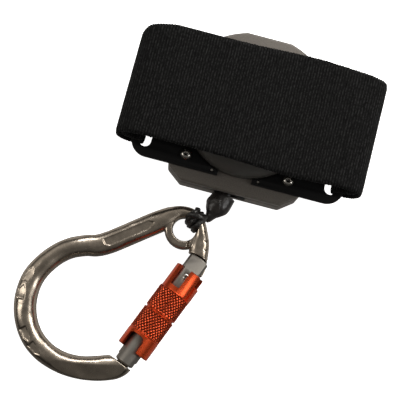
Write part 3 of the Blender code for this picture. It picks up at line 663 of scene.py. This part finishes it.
def build_plate():
    ends = 30.9 - 3.1
    slots = [arc((x, ends), 3.1, 0, 180, 16) + arc((x, -ends), 3.1, 180, 360, 16)
             for x in (-49.0, 49.0)]
    holes = [arc(place, 1.8, 0, 345, 23) for place in PLATE_SCREWS]
    pins = [arc((x, -34.0), 0.95, 0, 337.5, 15) for x in (-12.2, 12.2)]
    mesh = plate_mesh("back_plate", [plate_outline(), *slots, *holes, *pins], PLATE_BACK,
                      PLATE_FRONT, 0.22)
    new_object("back_plate", mesh, "black_plate", "retractor", ["mounting_plate"])


def build_cover():
    """Domed spring cover with a soft shoulder and a thin rim."""
    top, radius, wall = 38.4, 34.2, 2.0
    outer = [(0.0, top)]
    flat_r, high = 12.0, 14.0
    for step in range(25):
        angle = math.radians(90 - 90 * step / 24)
        outer.append((flat_r + (radius - flat_r) * math.cos(angle),
                      top - high + high * math.sin(angle)))
    outer += [(radius, PLATE_BACK + 0.4), (radius - 0.4, PLATE_BACK)]
    inner = [(max(r - wall, 0.0), z - wall) for r, z in reversed(outer[1:-2])]
    profile = outer + [(radius - wall, PLATE_BACK)] + inner + [(0.0, top - wall)]
    new_object("dome_cover", lathe_mesh("dome_cover", profile, 128), "cover_grey", "retractor",
               ["spring_cover"], smooth=60.0)


def build_exit_guide():
    """Flared nozzle in the base's slot."""
    mesh = plate_mesh("line_guide", [rounded([(-8.0, -4.0 + 0.3), (8.0, -3.7), (8.0, 3.7),
                                              (-8.0, 3.7)], 1.2)], 36.9, 42.4, 0.3)
    mesh.transform(Matrix.Translation((0, 0, EXIT_Z * MM)) @ Matrix.Rotation(math.pi / 2, 4, "X"))
    profile = [(0.0, 44.0), (3.6, 44.0), (2.9, 42.2), (2.2, 40.9), (2.0, 40.0), (2.4, 38.4),
               (3.2, 36.0), (0.0, 36.0)]
    oval = (Matrix.Translation((-1.2, 0, EXIT_Z)) @ Matrix.Rotation(math.pi / 2, 4, "X")
            @ Matrix.Diagonal((1.9, 1.0, 1.0, 1.0)))
    mesh = with_booleans(mesh, [("DIFFERENCE", lathe_mesh("flare", profile, 48, oval))])
    new_object("line_guide", mesh, "black_plate", "retractor", ["exit_guide"])


# ---- line, boot and hitch ---------------------------------------------------------
BOOT_START = Vector((-1.2, -43.1, EXIT_Z))
BOOT_DIRECTION = Vector((-math.sin(math.radians(21.5)), -math.cos(math.radians(21.5)), 0.0))


def build_lead():
    """The line from the drum through the guide, with a straight last stretch out to the boot."""
    far = BOOT_START + BOOT_DIRECTION * 0.6
    near = BOOT_START - BOOT_DIRECTION * 3.2
    bend = smooth_route([(-20.2, -24.4, 10.0), (-14.0, -28.9, 9.4), (-7.5, -33.6, 8.5),
                         (-3.0, -36.9, 8.1), tuple(near)], 5)
    straight = [near.lerp(far, step / 24) for step in range(1, 25)]
    mesh = tube_mesh("lead_line", bend + straight, 1.45, 18)
    piece = new_object("lead_line", mesh, "line_black", None, ["lifeline_lead"])
    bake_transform(piece)


def build_boot():
    """Shrunk rubber boot over the line's crimp: wide at the exit, creased, tapering."""
    spine = smooth_route([(-1.75, -42.75, 8.0, 5.7, 4.6), (-3.3, -46.2, 8.0, 6.2, 5.3),
                          (-4.8, -49.8, 8.0, 6.4, 5.4), (-5.9, -52.8, 8.2, 4.7, 4.5),
                          (-6.8, -55.3, 8.5, 2.8, 3.2), (-7.6, -57.6, 8.8, 1.9, 2.4),
                          (-8.1, -58.9, 9.0, 0.9, 1.2)], 9)
    sides, points = 56, []
    for step, (x, y, z, half_x, half_z) in enumerate(spine):
        here = Vector((x, y, z))
        across = Vector((-BOOT_DIRECTION.y, BOOT_DIRECTION.x, 0.0))
        along = step / (len(spine) - 1)
        fade = min(1.0, along * 6.0) * min(1.0, (1.0 - along) * 4.0 + 0.25)
        for j in range(sides):
            angle = math.tau * j / sides
            point = here + across * (half_x * math.cos(angle)) + UP * (half_z * math.sin(angle))
            lump = noise.noise(point * 0.24 + Vector((3.1, 0.0, 0.0))) * 0.3
            twist = angle * 3.0 + along * 5.0 + noise.noise(point * 0.2) * 4.0
            crease = -abs(math.sin(twist)) ** 4 * 0.22
            out = (point - here).normalized()
            points.append(point + out * fade * (lump + crease) * 0.8)
    mesh = raw_mesh("rubber_boot", points, ring_faces(len(spine), sides))
    wall = box_mesh("wall", (-20, -42.6, -10), (20, -20.0, 30))
    bore = tube_mesh("bore", [BOOT_START - BOOT_DIRECTION * 3, BOOT_START + BOOT_DIRECTION * 9],
                     1.6, 20)
    mesh = with_booleans(mesh, [("DIFFERENCE", wall), ("DIFFERENCE", bore)])
    new_object("rubber_boot", mesh, "boot_black", "line_end", ["line_boot"], smooth=60.0)


EYE = Vector((-18.0, -66.0, 9.2))


def build_hitch():
    """Girth hitch on the eye's bar: kneaded turns, the bight across them and the two legs."""
    angle = math.radians(58.0)
    out = Vector((math.cos(angle), math.sin(angle), 0.0))
    side = Vector((-out.y, out.x, 0.0))
    centre = EYE + out * 8.2
    names = {-2.8: "hitch_strand_1", -0.2: "hitch_strand_2", 2.3: "hitch_strand_3"}
    nodes = {-2.8: "hitch_turn_1", -0.2: None, 2.3: "hitch_turn_2"}
    for number, (offset, name) in enumerate(names.items()):
        lean = (0.12, -0.10, 0.10)[number]
        reach = (4.5, 4.6, 4.2)[number]
        loop = []
        for step in range(48):
            turn = math.tau * step / 48
            x = math.copysign(abs(math.cos(turn)) ** 0.8, math.cos(turn)) * reach
            x = min(x, (3.7, 3.3, 3.7)[number])
            z = math.copysign(abs(math.sin(turn)) ** 0.8, math.sin(turn)) * 6.0
            point = centre + side * (offset + lean * x * 0.5) + out * x + UP * z
            loop.append(point + side * 0.35 * noise.noise(point * 0.5))
        mesh = tube_mesh(name, loop, (1.5, 1.45, 1.3)[number], 18, True, 0.45, number * 7.0)
        replaced = [nodes[offset]] if nodes[offset] else []
        new_object(name, mesh, "line_black", "carabiner", replaced, smooth=70.0)
    cross = smooth_route([centre + side * 3.0 - out * 2.8 + UP * 4.0,
                          centre + side * 2.8 - out * 1.2 + UP * 7.0,
                          centre + side * 1.0 + out * 0.4 + UP * 8.0,
                          centre - side * 1.4 + out * 1.4 + UP * 7.7,
                          centre - side * 2.8 + out * 2.2 + UP * 5.6,
                          centre - side * 2.9 + out * 2.6 + UP * 2.5], 8)
    mesh = tube_mesh("hitch_cross", cross, 1.55, 18, False, 0.45, 31.0)
    new_object("hitch_cross", mesh, "line_black", "carabiner", ["hitch_bight"], smooth=70.0)


# ---- carabiner --------------------------------------------------------------------
PIVOT = Vector((-10.9, -89.9, 9.2))
GATE_LEAN = math.radians(21.7)
GATE = frame_along(PIVOT, (-math.sin(GATE_LEAN), -math.cos(GATE_LEAN), 0.0))
HEAD = GATE @ Matrix.Rotation(-math.pi / 2, 4, "X")
BAR_Z = 9.2
BOW_POWER = 2.1


def bar_stations():
    """Centre line: x, y, half width, half height and squareness of the section."""
    leg = [(-7.6, -80.5, 5.2, 5.3, 2.9), (-7.9, -75.5, 5.1, 5.3, 2.9),
           (-8.3, -70.5, 4.6, 5.2, 2.8), (-9.3, -65.6, 3.6, 5.0, 2.5),
           (-11.8, -60.6, 3.3, 4.8, 2.3), (-16.2, -57.5, 3.2, 4.7, 2.2),
           (-21.6, -57.7, 3.5, 4.9, 2.2), (-26.0, -60.6, 4.9, 5.2, 2.3)]
    spine = [(-31.0, -64.6, 5.7, 5.5, 2.15), (-37.0, -69.2, 5.8, 5.6, 2.2),
             (-46.0, -76.3, 5.8, 5.6, 2.2), (-53.5, -82.0, 5.8, 5.6, 2.2),
             (-59.2, -85.2, 5.7, 5.5, 2.1), (-65.0, -86.8, 5.5, 5.5, 2.05)]
    bow = [(-72.2, -90.1, 5.4, 5.5, 2.05), (-78.1, -95.1, 5.4, 5.5, 2.1),
           (-83.1, -101.8, 5.5, 5.5, BOW_POWER), (-86.4, -109.2, 5.7, 5.5, BOW_POWER),
           (-87.3, -117.3, 5.75, 5.5, BOW_POWER), (-86.2, -125.2, 5.75, 5.5, BOW_POWER),
           (-82.9, -132.9, 5.7, 5.5, BOW_POWER), (-77.9, -139.2, 5.7, 5.5, BOW_POWER),
           (-71.7, -143.6, 5.6, 5.5, 2.1), (-65.2, -146.1, 5.5, 5.5, 2.05)]
    foot = [(-58.4, -147.3, 5.6, 5.5, 2.1), (-50.8, -147.1, 5.9, 5.5, 2.1),
            (-43.6, -145.6, 6.3, 5.5, 2.1), (-38.0, -143.8, 6.4, 5.5, 2.1),
            (-34.2, -142.4, 6.1, 5.5, 2.1), (-31.6, -140.2, 5.7, 5.4, 2.3),
            (-30.3, -136.8, 5.6, 5.3, 2.3)]
    return leg + spine + bow + foot


def bar_mesh():
    stations = smooth_route(bar_stations(), 10)
    sides, points = 48, []
    for i, (x, y, half, high, power) in enumerate(stations):
        ahead = stations[min(i + 1, len(stations) - 1)]
        behind = stations[max(i - 1, 0)]
        along = Vector((ahead[0] - behind[0], ahead[1] - behind[1], 0.0)).normalized()
        across = UP.cross(along)
        for j in range(sides):
            angle = math.tau * j / sides
            c, s = math.cos(angle), math.sin(angle)
            u = math.copysign(abs(c) ** (2 / power), c) * half
            v = math.copysign(abs(s) ** (2 / power), s) * high
            points.append(Vector((x, y, BAR_Z)) + across * u + UP * v)
    return raw_mesh("bar", points, ring_faces(len(stations), sides))


def spine_panel():
    """Shallow plain recess along the straight spine, with slanted ends."""
    outline = rounded([(-57.0, -81.9), (-36.8, -66.6), (-33.4, -66.6), (-35.8, -71.2),
                       (-52.6, -84.2), (-55.2, -84.2)], 0.8)
    return plate_mesh("panel", [outline], BAR_Z + 4.9, BAR_Z + 9.0, 0.05, 1)


def support(tilt, half, high, power):
    """How far a superellipse reaches along a direction tilted from its height."""
    q = power / (power - 1)
    return ((half * math.sin(tilt)) ** q + (high * math.cos(tilt)) ** q) ** (1 / q)


def grip_cuts():
    """Wedge shaped pads on the bow's outer shoulder: a step at one end, pointed at the other."""
    centre, ring = Vector((-57.4, -117.3, BAR_Z)), 30.0
    tilt, deep, shallow = math.radians(25.0), 0.95, 0.15
    reach = support(tilt, 5.75, 5.5, BOW_POWER)
    tools = []
    for start, end in ((171.0, 156.0), (187.5, 173.5), (213.5, 227.5), (229.5, 244.0)):
        for sign in (1, -1):
            ends = []
            for angle, offset in ((start, reach - deep), (end, reach - shallow)):
                a = math.radians(angle)
                outward = Vector((math.cos(a), math.sin(a), 0.0))
                face = outward * math.sin(tilt) + UP * math.cos(tilt) * sign
                ends.append((centre + outward * ring + face * offset, face))
            (low, face), (tip, _) = ends
            along = (tip - low).normalized()
            face = (face - along * face.dot(along)).normalized()
            turn = Matrix((along, face.cross(along), face)).transposed().to_4x4()
            tools.append(wedge_mesh(Matrix.Translation(low) @ turn, (tip - low).length))
    return tools


def wedge_mesh(place, length):
    """A block over a flat floor whose far end is pointed."""
    half, shoulder, high = 2.1, 0.62, 4.0
    floor = [(0.0, -half), (length * shoulder, -half), (length, 0.0), (length * shoulder, half),
             (0.0, half)]
    corners = [place @ Vector((x, y, 0.0)) for x, y in floor]
    corners += [place @ Vector((x, y, high)) for x, y in floor]
    faces = [(4, 3, 2, 1, 0), (5, 6, 7, 8, 9)]
    faces += [(i, (i + 1) % 5, (i + 1) % 5 + 5, i + 5) for i in range(5)]
    return raw_mesh("wedge", corners, faces)


def leg_cuts():
    """Small scallops down the leg's outer shoulder."""
    tools = []
    for x, y in ((-7.0, -64.6), (-5.4, -69.0), (-4.2, -73.4)):
        turn = Matrix.Rotation(math.radians(35), 4, "Y")
        lean = Matrix.Rotation(math.radians(14), 4, "Z")
        place = Matrix.Translation((x, y, BAR_Z + 4.6)) @ lean @ turn
        tools.append(box_mesh("scallop", (-1.8, -0.55, -0.55), (2.6, 0.55, 3.0), place))
    return tools


def foot_cuts():
    """A long slanted flat along the foot's outer side, on both faces."""
    start, end = Vector((-68.0, -148.2, 0.0)), Vector((-36.0, -142.6, 0.0))
    along = (end - start).normalized()
    outward = Vector((along.y, -along.x, 0.0))
    tilt = math.radians(19.0)
    tools = []
    for sign in (1, -1):
        face = outward * math.sin(tilt) + UP * math.cos(tilt) * sign
        turn = Matrix((along, face.cross(along), face)).transposed().to_4x4()
        place = Matrix.Translation(start + UP * (BAR_Z + 5.15 * sign)) @ turn
        tools.append(box_mesh("foot", (-8.0, -14.0, 0.0), (46.0, 14.0, 5.0), place))
    return tools


def build_carabiner_frame():
    lug = rounded([(0.0, 4.0), (10.2, 4.0), (10.2, -4.0), (0.0, -4.0)], [0, 1.4, 1.4, 0])
    flare = [(0.0, 9.0), (8.6, 9.0), (6.9, 4.6), (6.0, 2.8), (6.0, -2.8), (6.9, -4.6),
             (8.6, -9.0), (0.0, -9.0)]
    eye = Matrix.Translation(EYE)
    rail = rounded([(0.0, 15.4), (2.0, 15.2), (4.0, 12.6), (5.5, 9.8), (6.1, 7.0), (6.1, 4.7),
                    (0.0, 4.7)], [0, 0, 2, 2, 2, 0.4, 0])
    tools = [("UNION", lathe_mesh("lug", lug, 64, eye)),
             ("DIFFERENCE", lathe_mesh("eye", flare, 64, eye)),
             ("DIFFERENCE", cylinder_mesh("socket", 12.9, -9.0, 9.0, HEAD, 96)),
             ("DIFFERENCE", box_mesh("trim", (-9, -9, 30), (9, 9, 54.2), GATE)),
             ("UNION", box_mesh("tang", (-3.4, -2.0, -14.6), (3.4, 2.0, -2.0), GATE)),
             ("UNION", plate_mesh("rail", [rail], -2.0, 2.0, 0.2, 2, HEAD)),
             ("UNION", cylinder_mesh("tang_end", 3.4, -2.0, 2.0, HEAD, 48)),
             ("UNION", box_mesh("tongue", (-3.4, -2.0, 50.7), (3.0, 2.0, 56.0), GATE)),
             ("DIFFERENCE", cylinder_mesh("rivet_bore", 1.6, -6.0, 6.0, HEAD, 32)),
             ("DIFFERENCE", spine_panel())]
    tools += [("DIFFERENCE", tool) for tool in grip_cuts()]
    tools += [("DIFFERENCE", tool) for tool in leg_cuts() + foot_cuts()]
    seam = frame_along((-14.4, -71.0, BAR_Z + 2.6), (0.4, -6.4, 0.0))
    tools.append(("DIFFERENCE", box_mesh("seam", (-0.45, -1.1, 0.0), (0.45, 4.0, 7.0), seam)))
    mesh = with_booleans(bar_mesh(), tools)
    mesh = fused(mesh, 0.24, 8)
    new_object("forged_frame", mesh, "forged_grey", "carabiner", ["carabiner_frame"],
               smooth=None)


def build_gate():
    """Gate: flattened rivet head, neck and turned tip."""
    head_r, shoulder, tip_end = 12.4, 37.0, 53.5
    profile = rounded([(0.0, 48.6), (2.8, 48.6), (2.8, shoulder), (4.5, shoulder), (4.5, 8.0),
                       (5.9, 7.0), (5.9, -14.0), (0.0, -14.0)], 0.0)
    outline = arc((0, 0), head_r, 0, 180, 48) + [(-head_r, -60.0), (head_r, -60.0)]
    flat = box_mesh("flats", (-9, -4.7, -20), (9, 4.7, 60), GATE)
    tools = [("INTERSECT", plate_mesh("outline", [outline], -9, 9, 0.01, 1, HEAD)),
             ("INTERSECT", flat),
             ("DIFFERENCE", box_mesh("slot", (-9, -2.3, -15), (9, 2.3, 3.9), GATE)),
             ("DIFFERENCE", cylinder_mesh("pin_bore", 1.8, -9, 9, HEAD, 32))]
    step = rounded([(-9.0, 4.4), (9.0, 4.4), (9.0, 16.0), (-9.0, 16.0)], 0.0)
    for low, high in ((4.0, 7.0), (-7.0, -4.0)):
        tools.append(("DIFFERENCE", plate_mesh("step", [step], low, high, 0.05, 1, HEAD)))
    mesh = with_booleans(lathe_mesh("gate_body", profile, 64, GATE), tools)
    item = temporary(mesh)
    bevel = item.modifiers.new("edges", "BEVEL")
    bevel.width = 0.0003
    bevel.segments = 2
    bevel.limit_method = "ANGLE"
    bevel.angle_limit = math.radians(45)
    new_object("gate_body", applied(item), "gate_grey", "gate", ["gate"])
    rivet = rounded([(0.0, 5.0), (1.1, 5.0), (1.7, 4.6), (1.5, 3.0), (1.5, -3.0), (1.7, -4.6),
                     (1.1, -5.0), (0.0, -5.0)], 0.0)
    dimple = [(0.0, 7.0), (1.15, 7.0), (0.95, 4.4), (0.0, 3.2)]
    mesh = with_booleans(lathe_mesh("rivet", rivet, 40, HEAD),
                         [("DIFFERENCE", lathe_mesh("dimple", dimple, 32, HEAD))])
    new_object("gate_rivet", mesh, "steel", "carabiner", ["gate_hinge_pin"])
    tip = [(0.0, tip_end), (4.7, tip_end), (5.5, tip_end - 0.7), (5.5, shoulder + 0.3),
           (3.1, shoulder + 0.3), (3.1, 48.9), (0.0, 48.9)]
    tip = rounded(tip, [0, 0.3, 0.3, 0.3, 0, 0, 0])
    slot = box_mesh("nose_slot", (-9, -2.3, 50.2), (9, 2.3, 60), GATE)
    mesh = with_booleans(lathe_mesh("tip", tip, 64, GATE), [("DIFFERENCE", slot)])
    new_object("gate_tip_cap", mesh, "gate_grey", "gate", ["gate_tip"])


SLEEVE_TURN = math.radians(18.0)
KNURLS = ((9.9, 22.1), (23.4, 35.5))
KNURL_STARTS = 28
KNURL_R = 8.75
KNURL_STEEP = 0.9              # turn of the cuts for each radius of travel
KNURL_DEPTH = 0.42
KNURL_VALLEY = 0.32            # half width of a cut, in pitches
KNURL_FADE = 0.5               # length over which a band's cuts run out
SLEEVE_BORE_R = 6.2


def sleeve_profile():
    """Outside of the sleeve from its crown to its lower end, as (distance, radius)."""
    return [(-4.0, 7.7), (-3.6, 8.1), (9.3, 8.1), (9.6, 8.2), (9.9, KNURL_R),
            (22.1, KNURL_R), (22.35, 8.0), (23.1, 8.0), (23.4, KNURL_R),
            (35.5, KNURL_R), (35.9, 8.55), (36.2, 8.8), (45.5, 8.8), (46.0, 8.3)]


def knurl_cut(angle, t, fade):
    """How deep the crossing cuts are at a point of a band, 0 on a diamond to 1 in a valley."""
    pitch = math.tau / KNURL_STARTS
    slope = t / KNURL_R
    left = ((angle + slope * KNURL_STEEP) / pitch) % 1.0
    right = ((angle - slope * KNURL_STEEP) / pitch) % 1.0
    ridge = min(min(left, 1 - left), min(right, 1 - right))
    return max(0.0, 1.0 - ridge / KNURL_VALLEY) ** 0.8 * fade


def sleeve_mesh():
    """Turned sleeve whose two bands carry a real diamond knurl; marks how deep each cut is."""
    spots = [p[0] for p in sleeve_profile()]
    for low, high in KNURLS:
        spots += list(np.arange(low + 0.2, high - 0.15, 0.19))
    spots = sorted(set(round(s, 4) for s in spots))
    around = 432
    place = GATE @ Matrix.Rotation(SLEEVE_TURN, 4, "Z")
    points, depths = [], []
    ts = [p[0] for p in sleeve_profile()]
    rs = [p[1] for p in sleeve_profile()]
    for t in spots:
        radius = float(np.interp(t, ts, rs))
        band = [b for b in KNURLS if b[0] < t < b[1]]
        fade = 0.0
        if band:
            low, high = band[0]
            fade = min(1.0, (t - low) / KNURL_FADE, (high - t) / KNURL_FADE)
        for step in range(around):
            angle = math.tau * step / around
            cut = knurl_cut(angle, t, fade) if band else 0.0
            r = radius - KNURL_DEPTH * cut
            points.append(place @ Vector((r * math.cos(angle), r * math.sin(angle), t)))
            depths.append(cut)
    for t in (spots[-1], spots[0]):
        for step in range(around):
            angle = math.tau * step / around
            inner = Vector((SLEEVE_BORE_R * math.cos(angle), SLEEVE_BORE_R * math.sin(angle), t))
            points.append(place @ inner)
            depths.append(0.0)
    mesh = raw_mesh("sleeve", points, ring_faces(len(spots) + 2, around, True))
    # The depth mark also drives painted shade in the knurl valleys.
    mark = mesh.attributes.new("depth", "FLOAT", "POINT")
    mark.data.foreach_set("value", depths)
    return mesh


def build_sleeve():
    place = GATE @ Matrix.Rotation(SLEEVE_TURN, 4, "Z")
    half, window = 2.9, 4.6
    tools = []
    outline = arc((0, 0), 8.9, -17, 17, 16) + arc((0, 0), 6.6, 17, -17, 8)
    tools.append(("UNION", plate_mesh("tab", [outline], 1.7, 10.4, 0.2, 2, place)))
    slot = rounded([(-half, -20.0), (half, -20.0), (half, 7.0), (-half, 7.0)], [0, 0, 0.9, 0.9])
    along = place @ Matrix.Rotation(-math.pi / 2, 4, "X") @ Matrix.Diagonal((1, -1, 1, 1))
    tools.append(("DIFFERENCE", plate_mesh("slot", [slot], -12, 12, 0.01, 1, along)))
    tools.append(("DIFFERENCE", box_mesh("side", (-12, -half, -9), (12, half, 1.7), place)))
    low = rounded([(-window, 37.4), (window, 37.4), (window, 60), (-window, 60)],
                  [3.0, 3.0, 0, 0], 6)
    tools.append(("DIFFERENCE", plate_mesh("window", [low], 0, 12, 0.01, 1, along)))
    new_object("knurled_sleeve", with_booleans(sleeve_mesh(), tools), "orange", "lock_sleeve",
               ["lock_sleeve"], smooth=35.0)


def build_sleeve_spring():
    """Coil between the carrier and the gate's shoulder."""
    low, high, turns, per_turn = 28.4, 36.3, 4, 24
    route = []
    for step in range(turns * per_turn + 1):
        angle = math.tau * step / per_turn
        height = low + (high - low) * step / (turns * per_turn)
        route.append(GATE @ Vector((5.25 * math.cos(angle), 5.25 * math.sin(angle), height)))
    mesh = tube_mesh("sleeve_coil", route, 0.35, 10)
    piece = new_object("sleeve_coil", mesh, "spring_steel", None, ["sleeve_spring"])
    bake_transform(piece)


# ---- strap ------------------------------------------------------------------------
STRAP_HALF = 29.5
RIB_PITCH = 1.42


def strap_path():
    """Middle of the webbing's thickness, evenly spaced, from one sewn end to the other."""
    z = 40.5
    front = [(0.0, z), (20.0, z), (44.0, z), (53.5, 39.5), (59.6, 36.6), (62.6, 31.8),
             (63.2, 26.0), (62.3, 20.0), (59.4, 16.4), (55.4, 15.0), (51.8, 15.9)]
    back = [(50.3, 19.0), (50.4, 22.6), (52.8, 25.2), (56.6, 26.2), (59.3, 28.4), (60.1, 31.2),
            (59.4, 33.4)]
    half = front + back
    route = [(-x, h) for x, h in reversed(half[1:])] + half
    dense = np.array(smooth_route(route, 12))
    lengths = np.concatenate([[0.0], np.cumsum(np.hypot(*np.diff(dense, axis=0).T))])
    count = int(round(lengths[-1] / (RIB_PITCH / 7)))
    even = np.linspace(0.0, lengths[-1], count + 1)
    return (np.stack([np.interp(even, lengths, dense[:, 0]),
                      np.interp(even, lengths, dense[:, 1])], axis=1), even)


def strap_corner(x):
    """How far the upper edge is pulled in near the left fold, where its corner is rounded."""
    toward_fold = min(1.0, max(0.0, (-x - 48.0) / 8.0))
    round_turn = min(1.0, max(0.0, (-x - 55.0) / 8.6))
    return 1.2 * toward_fold + 5.6 * (1 - math.sqrt(1 - round_turn ** 2))


def strap_bulge(x, z):
    """How far each edge of the front spreads where the dome stretches it."""
    return 1.5 * math.exp(-((x - 24.0) / 24.0) ** 2) if z > 33.0 else 0.0


def build_strap():
    """Ribbed elastic webbing through the plate's slots, its edges slightly frayed."""
    path, along = strap_path()
    across = 30
    widths = []
    for i, s in enumerate(along):
        rib = int(s / RIB_PITCH)
        fray = noise.noise(Vector((rib * 1.7, 0.3, 0.0))) * 0.22
        loop = abs(math.sin(math.pi * s / RIB_PITCH)) ** 0.7 * 0.3
        widths.append(STRAP_HALF - 0.35 + loop + fray)
    points, ribs = [], []
    for i, (x, z) in enumerate(path):
        ahead = path[min(i + 1, len(path) - 1)]
        behind = path[max(i - 1, 0)]
        direction = Vector((ahead[0] - behind[0], 0.0, ahead[1] - behind[1])).normalized()
        out = Vector((-direction.z, 0.0, direction.x))
        rib = abs(math.sin(math.pi * along[i] / RIB_PITCH)) ** 0.8
        thick = 0.82 + 0.22 * rib
        half = widths[i]
        corner = strap_corner(x)
        bulge = strap_bulge(x, z)
        profile = []
        for j in range(across + 1):
            v = -1 + 2 * j / across
            edge = 1.0 - max(0.0, (abs(v) - 0.93) / 0.07) ** 2 * 0.42
            profile.append((v * half + bulge * v - corner * max(0.0, v) ** 3, thick * edge))
        ring = profile + [(y, -t) for y, t in reversed(profile)]
        for y, t in ring:
            ripple = 0.06 * noise.noise(Vector((x * 0.12, y * 0.16, z * 0.1)))
            shift = 0.16 * noise.noise(Vector((y * 0.11, along[i] * 0.02, 5.0)))
            centre = Vector((x, y, z)) + direction * shift
            points.append(centre + out * (t + ripple))
            ribs.append(rib)
    mesh = raw_mesh("webbing_strap", points, ring_faces(len(path), 2 * (across + 1)))
    # The 'rib' attribute holds rib height; the webbing colour uses it for painted shade in the
    # valleys and painted highlight on the rib tops.
    mesh.attributes.new("rib", "FLOAT", "POINT").data.foreach_set("value", ribs)
    strap = new_object("webbing_strap", mesh, "webbing", "retractor", ["elastic_strap"],
                       smooth=None)


# ---- carried over CAD nodes ---------------------------------------------------------
def dress_inner_nodes():
    """Every CAD node that still shows gets the finish of its record slot."""
    slots = {row["node"]: row["material_slot"] for row in frame["record"]["subparts"]}
    for name, node in frame["nodes"].items():
        if node.hide_render:
            continue
        node.data.materials.clear()
        node.data.materials.append(MATERIALS[slots[name]])


build_housing()
build_screws()
build_plate()
build_cover()
build_exit_guide()
build_lead()
build_boot()
build_hitch()
build_carabiner_frame()
build_gate()
build_sleeve()
build_sleeve_spring()
build_strap()
dress_inner_nodes()
